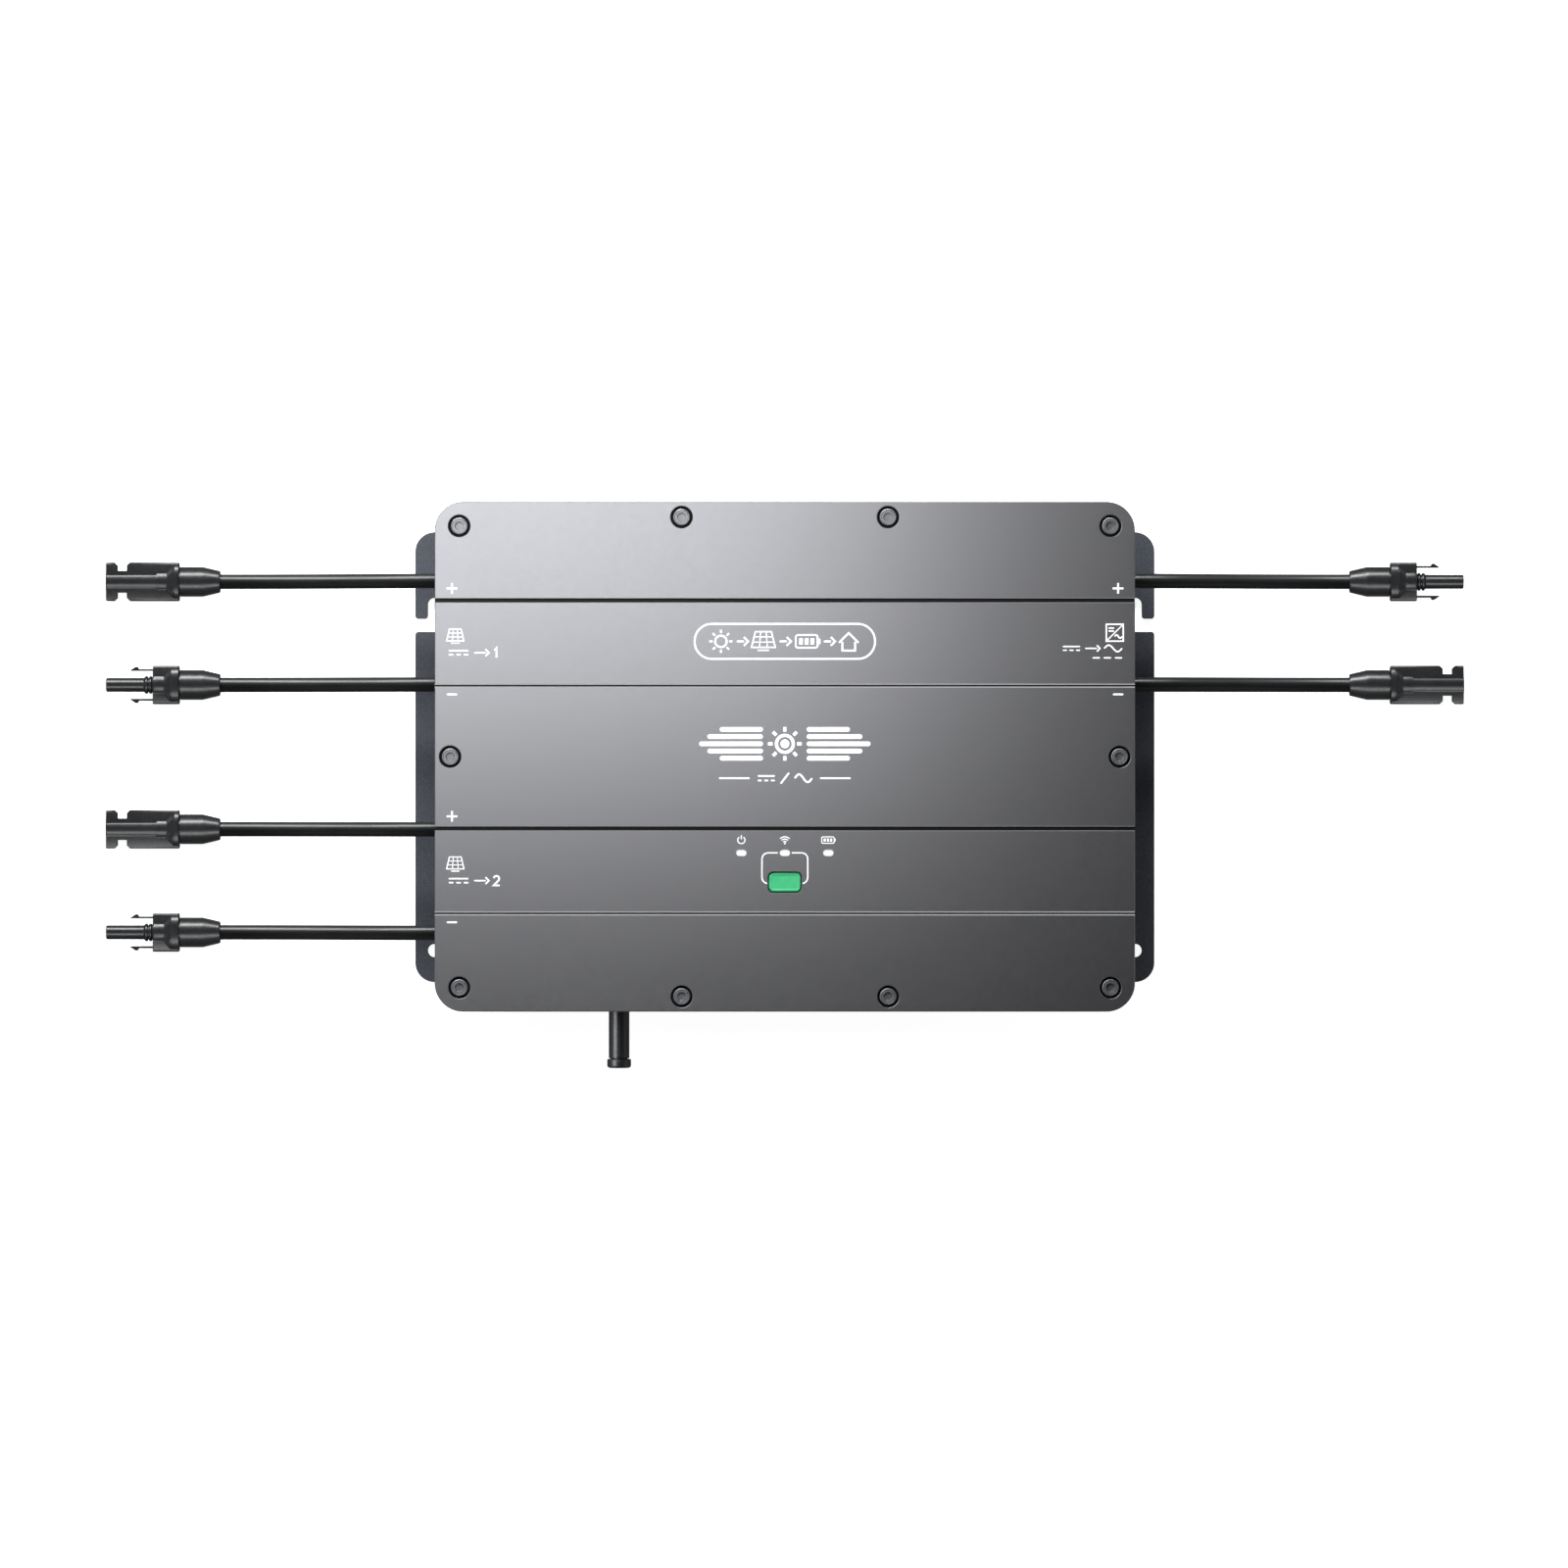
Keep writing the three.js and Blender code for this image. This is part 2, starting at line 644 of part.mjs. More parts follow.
function mainBoard() {
  const { width, height, back, thick, postX, postY } = MAIN_BOARD;
  const top = back + thick;
  const foot = top - 0.2; // the soldered parts reach a little into the board
  const partAt = (x, y, size) =>
    block([x - size[0] / 2, y - size[1] / 2, foot], [x + size[0] / 2, y + size[1] / 2, top + size[2]]);
  const board = prism(roundRect(width, height, 3), back, top);
  const can = rod(CAPACITOR.radius, foot, top + CAPACITOR.height, "z", COARSE);
  const capacitors = CAPACITOR.x.map((x) => can.translate([x, CAPACITOR.y, 0]));
  const transistors = Array.from({ length: TRANSISTOR.count }, (_, i) =>
    partAt(TRANSISTOR.first + i * TRANSISTOR.pitch, 0, TRANSISTOR.size),
  );
  const terminals = LEADS.map(({ side, y }) =>
    partAt(side * (width / 2 - TERMINAL.inset), y * 0.95, TERMINAL.size),
  );
  const radio = partAt(RADIO.x, RADIO.y, RADIO.size);
  const holes = atFour(rod(1.7, back - OVER, top + OVER), postX, postY);
  return cut(join(board, ...capacitors, ...transistors, ...terminals, radio), ...holes);
}

function inductor() {
  const { outer, inner, height, round } = INDUCTOR;
  const low = MAIN_BOARD.back + MAIN_BOARD.thick + GAP;
  const high = low + height;
  return turned(
    [
      [inner, low + round],
      [inner + round, low],
      [outer - round, low],
      [outer, low + round],
      [outer, high - round],
      [outer - round, high],
      [inner + round, high],
      [inner, high - round],
      [inner, low + round],
    ],
    "z",
    COARSE,
  );
}

place(hub, "main_board", mainBoard(), MATERIAL.board);
place(hub, "inductor_pv1", inductor(), MATERIAL.copper, [-INDUCTOR.x, INDUCTOR.y, 0]);
place(hub, "inductor_pv2", inductor(), MATERIAL.copper, [INDUCTOR.x, INDUCTOR.y, 0]);

function heatSpreader() {
  const [x, y] = [SPREADER.width / 2, SPREADER.height / 2];
  return block([-x, -y, TUB.back + TUB.floor + GAP], [x, y, MAIN_BOARD.back - GAP]);
}

place(hub, "heat_spreader", heatSpreader(), MATERIAL.steel);

// ---- Leads ----
function gland() {
  const { flange, shank, nose, bore, inner, outer } = GLAND;
  const wall = TUB_SIDE + GAP;
  return turned(
    [
      [bore, inner],
      [shank, inner],
      [shank, wall],
      [flange, wall],
      [flange, wall + 2.2],
      [nose + 0.9, wall + 3],
      [nose, outer],
      [bore, outer],
      [bore, inner],
    ],
    "x",
    COARSE,
  );
}

// The lead's jacket, on the row's right-hand side.
function leadTube() {
  const points = LEAD_ROUTE.map(([x, z]) => new THREE.Vector3(x, 0, z));
  const circle = new THREE.Shape();
  circle.absarc(0, 0, LEAD.radius, 0, 2 * Math.PI);
  const options = {
    steps: LEAD.steps,
    curveSegments: LEAD.arcSteps,
    bevelEnabled: false,
    extrudePath: new THREE.CatmullRomCurve3(points),
  };
  return solid(new THREE.ExtrudeGeometry(circle, options));
}

// ---- Connectors, in their own frame: +X is the mating direction and x = 0 the cable end ----
const NUT_END = CONNECTOR.nutLength;
const BODY_START = NUT_END + GAP;
const CORE_START = BODY_START + OVER; // where what stands on the rear flange begins, inside it
const SLAB_HALF = 5.25; // half the thickness of a connector's flat wings
const BARREL = { radius: 6.1, bore: 3.75, boreStart: 32, mouth: 4.85, mouthStart: 50.8 };
const KEY = { half: 2.6, top: 6.9 }; // the block along the middle of both faces

function backNut() {
  const { bore, tail, radius } = NUT;
  return turned(
    [
      [bore, 0],
      [tail, 0],
      [tail, 1.2],
      [radius, 8],
      [radius, NUT_END],
      [bore, NUT_END],
      [bore, 0],
    ],
    "x",
    COARSE,
  );
}

// The round-cornered flange that meets the nut, and the concave fillet from it to the barrel.
function rearFlange() {
  const { half, restHeight } = CONNECTOR;
  const section = roundRect(2 * half, 2 * (restHeight - 0.1), 5.5);
  const flange = prismX(section, BODY_START, BODY_START + 2.7);
  const fillet = turned(
    [
      [0, BODY_START + 2],
      [BARREL.radius + 1.3, BODY_START + 2],
      [BARREL.radius + 1, BODY_START + 4],
      [BARREL.radius + 0.3, BODY_START + 7],
      [BARREL.radius, BODY_START + 10],
      [0, BODY_START + 10],
    ],
    "x",
  );
  return join(flange, fillet);
}

function keyBlock(end) {
  return block([CORE_START, -KEY.half, -KEY.top], [end, KEY.half, KEY.top]);
}

// The room for a latch arm in a connector's side (s is its side, 1 or -1), from its inner face outwards.
const POCKET_OUTER = 8.3;
function sidePocket(s, [start, end], inner, half) {
  const [low, high] = s > 0 ? [inner, POCKET_OUTER] : [-POCKET_OUTER, -inner];
  return block([start, low, -half], [end, high, half]);
}

function socketBody() {
  const { half, length } = CONNECTOR;
  const [notchStart, notchEnd, notchHalf, chamfer] = [45.6, 50.5, 5.4, 1.5];
  const side = (s) => [
    [notchEnd + chamfer, s * half, 0],
    [notchEnd, s * (half - chamfer), 0],
    [notchEnd, s * notchHalf, 0],
    [notchStart, s * notchHalf, 0],
    [notchStart, s * (half - chamfer), 0],
    [notchStart - chamfer, s * half, 0],
  ];
  const wings = outline([
    [CORE_START, -half, 0],
    ...side(-1).reverse(),
    [length, -half, 0.6],
    [length, half, 0.6],
    ...side(1),
    [CORE_START, half, 0],
  ]);
  const channel = (s) => sidePocket(s, [notchEnd - OVER, length + OVER], 6, 2.9);
  return cut(
    join(
      rearFlange(),
      prism(wings, -SLAB_HALF, SLAB_HALF),
      rod(BARREL.radius, CORE_START, length, "x", FINE),
      keyBlock(length),
    ),
    rod(BARREL.bore, BARREL.boreStart, length + OVER, "x", FINE),
    rod(BARREL.mouth, BARREL.mouthStart, length + OVER, "x", FINE),
    channel(-1),
    channel(1),
  );
}

const LATCH = { root: 31.4, tip: 44.1, y: 7.3, thick: 1, width: 4.8, barb: 1.6 };
const PLUG = { face: 32.9, neck: 4.5, neckLength: 3.7, nose: 3.45, pin: 1.9, pinStart: 40 };

function plugBody() {
  const { half, length } = CONNECTOR;
  const { face, neck, neckLength, nose, pin, pinStart } = PLUG;
  const noseTube = turned(
    [
      [0, face - OVER],
      [neck, face - OVER],
      [neck, face + neckLength],
      [nose, face + neckLength + 1.1],
      [nose, length - 0.4],
      [nose - 0.4, length],
      [0, length],
    ],
    "x",
    COARSE,
  );
  const slab = roundRect(face - CORE_START, 2 * half, 0.6, (face + CORE_START) / 2);
  const pocket = (s) => sidePocket(s, [LATCH.root - 0.7, face + OVER], 6.3, LATCH.width / 2 + 0.5);
  return cut(
    join(
      rearFlange(),
      prism(slab, -SLAB_HALF, SLAB_HALF),
      keyBlock(face - 2),
      noseTube,
    ),
    rod(pin, pinStart, length + OVER, "x", FINE),
    pocket(-1),
    pocket(1),
  );
}

// A latch arm on the +Y side of a plug: a thin blade with a barb that faces outwards.
function latchArm() {
  const { root, tip, y, thick, width, barb } = LATCH;
  const [inner, outer] = [y - thick / 2, y + thick / 2];
  const blade = outline([
    [root, inner, 0.2],
    [tip, inner, 0],
    [tip, inner + 0.35, 0],
    [tip - 2.6, outer + barb - 0.5, 0.2],
    [tip - 3.6, outer + barb - 0.5, 0],
    [tip - 4, outer, 0],
    [root, outer, 0.2],
  ]);
  return prism(blade, -width / 2, width / 2, 0, 2);
}

LEADS.forEach(({ name, side, y, kind }) => {
  const row = new THREE.Group();
  row.position.y = y;
  if (side < 0) row.rotation.z = Math.PI;
  hub.add(row);
  place(row, `${name}_gland`, gland(), MATERIAL.rubber, [0, 0, LEAD.exitHeight]);
  place(row, `${name}_lead`, leadTube(), MATERIAL.cable);

  const connector = new THREE.Group();
  connector.position.set(CONNECTOR.cableEnd, 0, CONNECTOR.restHeight);
  row.add(connector);
  place(connector, `${name}_back_nut`, backNut(), MATERIAL.connector);
  if (kind === "socket") {
    place(connector, `${name}_socket_body`, socketBody(), MATERIAL.connector);
    return;
  }
  place(connector, `${name}_plug_body`, plugBody(), MATERIAL.connector);
  place(connector, `${name}_latch_a`, latchArm(), MATERIAL.connector);
  const other = place(connector, `${name}_latch_b`, latchArm(), MATERIAL.connector);
  other.rotation.x = Math.PI;
});

export default hub;
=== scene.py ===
"""Looks for a weatherproof solar hub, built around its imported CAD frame.

Shapes are worked out in millimetres, and stored in metres in the frame's own axes:
+Z is the front face's normal, +Y is up once the hub hangs on a wall, and it lies on its back.
"""

import math

import bmesh
import bpy
from mathutils import Matrix, Vector


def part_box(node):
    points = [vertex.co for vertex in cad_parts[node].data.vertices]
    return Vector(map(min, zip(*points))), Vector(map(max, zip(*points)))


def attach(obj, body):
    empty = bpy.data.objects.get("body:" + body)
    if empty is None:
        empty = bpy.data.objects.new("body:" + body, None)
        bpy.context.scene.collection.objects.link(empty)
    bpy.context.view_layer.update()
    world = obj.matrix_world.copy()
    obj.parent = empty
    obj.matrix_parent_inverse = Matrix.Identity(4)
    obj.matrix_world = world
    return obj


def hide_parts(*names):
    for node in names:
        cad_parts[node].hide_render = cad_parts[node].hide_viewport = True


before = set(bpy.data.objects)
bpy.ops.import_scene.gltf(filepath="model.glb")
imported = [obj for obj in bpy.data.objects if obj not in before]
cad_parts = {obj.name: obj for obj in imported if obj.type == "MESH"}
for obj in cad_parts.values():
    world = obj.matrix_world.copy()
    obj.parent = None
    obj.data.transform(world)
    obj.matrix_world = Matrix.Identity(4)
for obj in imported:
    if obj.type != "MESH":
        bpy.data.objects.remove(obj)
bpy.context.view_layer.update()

MM = 0.001


def mm_box(node):
    """A CAD node's lowest and highest corner in millimetres."""
    low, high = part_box(node)
    return low / MM, high / MM


# ---- Driving dimensions, in millimetres, read off the frame where it has them ----
COVER_LOW, COVER_HIGH = mm_box("front_cover")
HOUSING_LOW, HOUSING_HIGH = mm_box("rear_housing")
BRACKET_HIGH = mm_box("mounting_bracket")[1]
FACE = COVER_HIGH.z  # the front face's height above the wall plane
CASE_WIDTH = COVER_HIGH.x - COVER_LOW.x
CASE_HEIGHT = COVER_HIGH.y - COVER_LOW.y
CASE_CORNER = 13.8
FLANGE_BACK = 43.3
TUB = {"width": 316, "height": 222, "corner": 10, "back": 14.0}
TUB_HOLLOW = {"width": 308, "height": 214, "corner": 6, "floor": 17.5}
TUB_END = TUB["height"] / 2  # from the middle to the tub's top and bottom walls
TUB_SIDE = TUB["width"] / 2 + 0.3  # and to where the glands sit on its side walls
FIN = {"thick": 2.2, "length": 200, "pitch": 14.0, "each_side": 10}
GASKET_GROOVE = {"width": 313.2, "height": 220.4, "corner": 10, "across": 3, "floor": 49.8}
COVER_POCKET = {"width": 298, "height": 204, "corner": 8, "deep": 5}
BOSS = {"x": 120, "y": 80, "radius": 6, "hole": 2.3, "hole_end": 11.8}
ALL_FOUR = ((-1, -1), (-1, 1), (1, -1), (1, 1))
WALL_HOLES = ((-81, 27), (-20, 29))  # the antenna's and the vent's: x and height
WALL_HOLE_RADIUS = 4.35
PORT = {"x": 62, "height": 29, "width": 28.7, "depth": 11.7, "corner": 2.8}
UNDER_FLANGE, OVER_FLANGE = 40, 60  # where cutters through the flange start and end
UNDER_COVER = 50  # where cutters through the cover start

WIDE_GROOVES = {"rows": (75.9, -34.8), "slot": 2.0, "depth": 2.4, "chamfer": 0.2}
THIN_GROOVES = {"rows": (34.5, -76.0), "slot": 0.8, "depth": 1.9, "chamfer": 0.6}

ROWS = {"outer": 86.0, "inner": 35.4}
LEADS = (
    ("pv1_plus", -1, ROWS["outer"], "socket"),
    ("pv1_minus", -1, ROWS["inner"], "plug"),
    ("pv2_plus", -1, -ROWS["inner"], "socket"),
    ("pv2_minus", -1, -ROWS["outer"], "plug"),
    ("out_plus", 1, ROWS["outer"], "plug"),
    ("out_minus", 1, ROWS["inner"], "socket"),
)
LEAD_DIAMETER = 7.2
LEAD_EXIT = (167.5, 27.0)  # where a lead leaves its gland: distance from the middle, height
CONNECTOR_START = 277.0
CONNECTOR_HEIGHT = 7.5

# A lead's route in its own row, in metres: distance from the middle of the case, height.
LEAD_ROUTE = (
    (0.152, 0.027),
    (0.157, 0.027),
    (0.162, 0.027),
    (0.1675, 0.027),
    (0.174, 0.0268),
    (0.182, 0.026),
    (0.191, 0.0244),
    (0.2, 0.022),
    (0.209, 0.0193),
    (0.218, 0.0166),
    (0.227, 0.0141),
    (0.236, 0.0119),
    (0.245, 0.0101),
    (0.254, 0.0087),
    (0.263, 0.0078),
    (0.271, 0.0075),
    (0.277, 0.0075),
    (0.283, 0.0075),
    (0.29, 0.0075),
)


# ---- Camera: square on to the front face, from far away ----
CAMERA_DISTANCE = 5.0  # metres above the front face
VIEW_WIDTH = 0.7608  # metres of the front face across the picture
VIEW_CENTRE = (-0.0004, -0.0132)
SENSOR = 36.0


def add_camera():
    data = bpy.data.cameras.new("camera")
    data.sensor_width = SENSOR
    data.lens = SENSOR * CAMERA_DISTANCE / VIEW_WIDTH
    data.clip_end = 20
    camera = bpy.data.objects.new("camera", data)
    camera.location = (*VIEW_CENTRE, FACE * MM + CAMERA_DISTANCE)
    bpy.context.scene.collection.objects.link(camera)
    bpy.context.scene.camera = camera


add_camera()


# ---- Node materials ----
class Finish:
    """A material round one Principled shader, with its texture in the object's own space."""

    def __init__(self, name, colour, roughness, metallic=0.0, **sockets):
        self.material = bpy.data.materials.new(name)
        self.material.use_nodes = True
        self.tree = self.material.node_tree
        self.shader = self.tree.nodes["Principled BSDF"]
        values = {"Base Color": (*colour, 1), "Roughness": roughness, "Metallic": metallic}
        for socket, value in {**values, **sockets}.items():
            self.shader.inputs[socket].default_value = value
        self.colour = colour
        self.roughness = roughness
        self.place = self.tree.nodes.new("ShaderNodeTexCoord").outputs["Object"]

    def link(self, output, socket):
        self.tree.links.new(output, socket)

    def noise(self, scale, detail=2.0, stretch=(1, 1, 1)):
        """Noise with scale grains in a metre."""
        mapping = self.tree.nodes.new("ShaderNodeMapping")
        mapping.inputs["Scale"].default_value = stretch
        self.link(self.place, mapping.inputs["Vector"])
        node = self.tree.nodes.new("ShaderNodeTexNoise")
        node.inputs["Scale"].default_value = scale
        node.inputs["Detail"].default_value = detail
        self.link(mapping.outputs["Vector"], node.inputs["Vector"])
        return node.outputs["Fac"]

    def cells(self, scale):
        """Rounded grains with scale grains in a metre: 0 at each grain's middle."""
        node = self.tree.nodes.new("ShaderNodeTexVoronoi")
        node.inputs["Scale"].default_value = scale
        self.link(self.place, node.inputs["Vector"])
        return node.outputs["Distance"]

    def ramp(self, factor, stops):
        node = self.tree.nodes.new("ShaderNodeValToRGB")
        elements = node.color_ramp.elements
        while len(elements) < len(stops):
            elements.new(0.5)
        for element, (position, colour) in zip(elements, stops):
            element.position = position
            element.color = (*colour, 1)
        self.link(factor, node.inputs["Fac"])
        return node.outputs["Color"]

    def tint(self, factor, low, high, start=0.3, end=0.7):
        """The colour goes from low to high times the material's own as the factor rises."""
        stops = ((start, low), (end, high))
        colours = [(at, tuple(c * share for c in self.colour)) for at, share in stops]
        self.link(self.ramp(factor, colours), self.shader.inputs["Base Color"])
        return self

    def gloss(self, factor, low, high):
        """The roughness goes from low to high as the factor goes from 0.3 to 0.7."""
        node = self.tree.nodes.new("ShaderNodeMapRange")
        node.inputs["From Min"].default_value = 0.3
        node.inputs["From Max"].default_value = 0.7
        node.inputs["To Min"].default_value = low
        node.inputs["To Max"].default_value = high
        self.link(factor, node.inputs["Value"])
        self.link(node.outputs["Result"], self.shader.inputs["Roughness"])
        return self

    def glow(self, strength):
        """A little white light of its own."""
        self.shader.inputs["Emission Color"].default_value = (1, 1, 1, 1)
        self.shader.inputs["Emission Strength"].default_value = strength

    def bump(self, height, strength, depth):
        """A relief of that depth in millimetres. A second call lies on top of the first."""
        node = self.tree.nodes.new("ShaderNodeBump")
        node.inputs["Strength"].default_value = strength
        node.inputs["Distance"].default_value = depth * MM
        self.link(height, node.inputs["Height"])
        before = self.shader.inputs["Normal"]
        if before.is_linked:
            self.link(before.links[0].from_socket, node.inputs["Normal"])
        self.link(node.outputs["Normal"], before)
        return self


def anodised_aluminium():
    """Bead-blasted and anodised: a very fine grain, with the slight unevenness of the bath."""
    finish = Finish("anodised", (0.435, 0.439, 0.464), 0.3, 0.97)
    finish.tint(finish.noise(9, 3), 0.99, 1.01)
    finish.gloss(finish.noise(400, 2), 0.29, 0.31)
    return finish.bump(finish.noise(3200, 2), 0.03, 0.02)


def cut_aluminium_painted_highlight():
    """Bare metal where a cutter chamfered the anodised face, with its feed marks. Its glow is a painted
    highlight that keeps the chamfers bright under any light.
    """
    finish = Finish("cut_edge_painted_highlight", (0.86, 0.87, 0.89), 0.4, 0.45)
    # painted highlight: the chamfers glow though they are no lamp
    finish.glow(0.12)
    finish.tint(finish.noise(300, 2, (0.1, 1, 1)), 0.93, 1.0)
    return finish.bump(finish.noise(2500, 1, (0.05, 1, 1)), 0.1, 0.01)


def recess_painted_shade():
    """Painted shade: a near-black colour on the floor and walls of each groove and each screw seat, where
    shade falls.
    """
    finish = Finish("recess_painted_shade", (0.012, 0.014, 0.018), 0.5)
    finish.tint(finish.noise(500, 2), 0.8, 1.2)
    return finish.bump(finish.noise(2000, 2), 0.2, 0.02)


def cast_aluminium():
    """Die-cast and painted dark: orange-peel relief with a little sheen."""
    finish = Finish("casting", (0.07, 0.074, 0.085), 0.5, 0.55)
    finish.tint(finish.noise(60, 4), 0.85, 1.12)
    finish.gloss(finish.noise(250, 3), 0.42, 0.58)
    finish.bump(finish.noise(450, 3), 0.3, 0.06)
    return finish.bump(finish.noise(2200, 2), 0.25, 0.03)


def powder_coat():
    """Textured powder coat: dense rounded grains, light ones among dark ones."""
    finish = Finish("powder_coat", (0.075, 0.083, 0.102), 0.55, 0.25)
    finish.tint(finish.noise(2200, 3), 0.78, 1.28, 0.36, 0.66)
    finish.gloss(finish.noise(900, 2), 0.5, 0.6)
    finish.bump(finish.cells(1600), 0.4, 0.07)
    return finish.bump(finish.noise(3000, 2), 0.3, 0.03)


def passivated_steel(name, colour, roughness):
    """Turned steel with the dull skin of its plating, and fine tool marks."""
    finish = Finish(name, colour, roughness, 0.9)
    finish.tint(finish.noise(500, 3), 0.88, 1.08)
    finish.gloss(finish.noise(900, 2), roughness - 0.03, roughness + 0.04)
    return finish.bump(finish.noise(1800, 2, (1, 1, 6)), 0.06, 0.02)


def moulded_plastic(name, colour, roughness, grain=1700):
    """Glass-filled plastic with a spark-eroded grain."""
    finish = Finish(name, colour, roughness)
    finish.tint(finish.noise(90, 3), 0.85, 1.15)
    finish.gloss(finish.noise(500, 3), roughness - 0.04, roughness + 0.04)
    return finish.bump(finish.noise(grain, 3), 0.1, 0.02)


def cable_jacket():
    """Cross-linked jacket: satin, with faint draw lines along the cable."""
    finish = Finish("cable_jacket", (0.012, 0.013, 0.014), 0.36)
    finish.tint(finish.noise(120, 3, (0.3, 1, 1)), 0.8, 1.25)
    finish.gloss(finish.noise(400, 2, (0.2, 1, 1)), 0.34, 0.38)
    finish.bump(finish.noise(900, 2, (0.03, 1, 1)), 0.08, 0.02)
    return finish.bump(finish.noise(2600, 2), 0.05, 0.01)


def matt_rubber():
    """Soft black rubber, dull all over."""
    finish = Finish("matt_rubber", (0.02, 0.02, 0.021), 0.72)
    finish.tint(finish.noise(200, 3), 0.7, 1.3)
    finish.gloss(finish.noise(600, 3), 0.62, 0.82)
    return finish.bump(finish.noise(2000, 3), 0.3, 0.04)


def green_silicone():
    """The button: translucent silicone rubber with a smooth skin."""
    finish = Finish("green_silicone", (0.07, 0.6, 0.26), 0.38)
    finish.shader.inputs["Subsurface Weight"].default_value = 0.25
    finish.shader.inputs["Subsurface Radius"].default_value = (0.001, 0.002, 0.001)
    finish.shader.inputs["Subsurface Scale"].default_value = 0.6
    finish.tint(finish.noise(350, 2), 0.95, 1.05)
    finish.gloss(finish.noise(700, 2), 0.33, 0.44)
    return finish.bump(finish.noise(2600, 2), 0.08, 0.02)


def white_lens():
    """The light guide: milky plastic that glows a little."""
    finish = Finish("white_lens", (0.93, 0.94, 0.96), 0.25)
    finish.glow(0.35)
    finish.tint(finish.noise(400, 2), 0.97, 1.0)
    return finish.bump(finish.noise(1500, 1), 0.05, 0.02)


def white_ink_painted_glow():
    """Screen-printed white ink. Its glow is painted light that keeps the print bright where the metal lies
    in shade.
    """
    finish = Finish("white_ink_painted_glow", (0.9, 0.905, 0.92), 0.5)
    # painted light: the ink glows though it is no lamp
    finish.glow(0.35)
    finish.tint(finish.noise(900, 3), 0.96, 1.02)
    return finish.bump(finish.noise(4000, 2), 0.15, 0.01)


def circuit_board():
    """Green solder mask over a faint relief of tracks."""
    finish = Finish("circuit_board", (0.02, 0.16, 0.07), 0.35)
    finish.tint(finish.noise(260, 1, (1, 4, 1)), 0.6, 1.3, 0.45, 0.55)
    return finish.bump(finish.noise(260, 1, (1, 4, 1)), 0.4, 0.05)


def wound_copper():
    """Enamelled wire: close turns round the core."""
    finish = Finish("wound_copper", (0.5, 0.2, 0.07), 0.32, 0.8)
    finish.tint(finish.noise(350, 2), 0.75, 1.15)
    wave = finish.tree.nodes.new("ShaderNodeTexWave")
    wave.inputs["Scale"].default_value = 300
    finish.link(finish.place, wave.inputs["Vector"])
    return finish.bump(wave.outputs["Fac"], 0.5, 0.3)


def milled_aluminium():
    """Bare aluminium with the long marks of a milling cutter."""
    finish = Finish("milled_aluminium", (0.6, 0.61, 0.63), 0.34, 0.9)
    finish.tint(finish.noise(200, 2, (0.1, 1, 1)), 0.9, 1.05)
    return finish.bump(finish.noise(1200, 2, (0.05, 1, 1)), 0.2, 0.02)


def tin_plate():
    """Bright tin on the contacts."""
    finish = Finish("tin_plate", (0.72, 0.7, 0.64), 0.3, 0.95)
    finish.tint(finish.noise(600, 2), 0.9, 1.05)
    return finish.bump(finish.noise(1500, 2), 0.1, 0.01)


ANODISED = anodised_aluminium().material
CUT_EDGE_PAINTED_HIGHLIGHT = cut_aluminium_painted_highlight().material
PAINTED_RECESS_SHADE = recess_painted_shade().material
CASTING = cast_aluminium().material
POWDER = powder_coat().material
SCREW_STEEL = passivated_steel("screw_steel", (0.36, 0.37, 0.39), 0.33).material
ZINC_STEEL = passivated_steel("zinc_steel", (0.55, 0.55, 0.54), 0.3).material
CONNECTOR_PLASTIC = moulded_plastic("connector_plastic", (0.012, 0.013, 0.0145), 0.31).material
ANTENNA_PLASTIC = moulded_plastic("antenna_plastic", (0.014, 0.015, 0.017), 0.33, 2400).material
JACKET = cable_jacket().material
RUBBER = matt_rubber().material
SILICONE = green_silicone().material
LENS = white_lens().material
INK_PAINTED_GLOW = white_ink_painted_glow().material
BOARD = circuit_board().material
COPPER = wound_copper().material
MILLED = milled_aluminium().material
TIN = tin_plate().material


# ---- Outlines, in millimetres ----
def arc(centre, radius, start, end, steps):
    """Points along an arc between two angles in degrees, both ends included."""
    angles = [math.radians(start + (end - start) * i / steps) for i in range(steps + 1)]
    return [(centre[0] + radius * math.cos(a), centre[1] + radius * math.sin(a)) for a in angles]


def circle(radius, steps=48, centre=(0, 0)):
    return arc(centre, radius, 0, 360, steps)[:-1]


def round_rect(width, height, radius, centre=(0, 0), steps=10):
    across, up = width / 2 - radius, height / 2 - radius
    points = []
    for quarter, (sx, sy) in enumerate(((1, 1), (-1, 1), (-1, -1), (1, -1))):
        middle = (centre[0] + sx * across, centre[1] + sy * up)
        points += arc(middle, radius, 90 * quarter, 90 * quarter + 90, steps)
    return points


def rounded(corners, steps=8):
    """A closed outline from corners (x, y, radius), each rounded by an arc of its radius."""
    points = []
    for i, (x, y, radius) in enumerate(corners):
        corner = Vector((x, y))
        back = (Vector(corners[i - 1][:2]) - corner).normalized()
        ahead = (Vector(corners[(i + 1) % len(corners)][:2]) - corner).normalized()
        half = back.angle(ahead) / 2
        centre = corner + (back + ahead).normalized() * radius / math.sin(half)
        start = corner + back * radius / math.tan(half) - centre
        end = corner + ahead * radius / math.tan(half) - centre
        first = math.degrees(math.atan2(start.y, start.x))
        sweep = (math.degrees(math.atan2(end.y, end.x)) - first + 180) % 360 - 180
        points += arc(centre, radius, first, first + sweep, steps) if radius else [(x, y)]
    return points


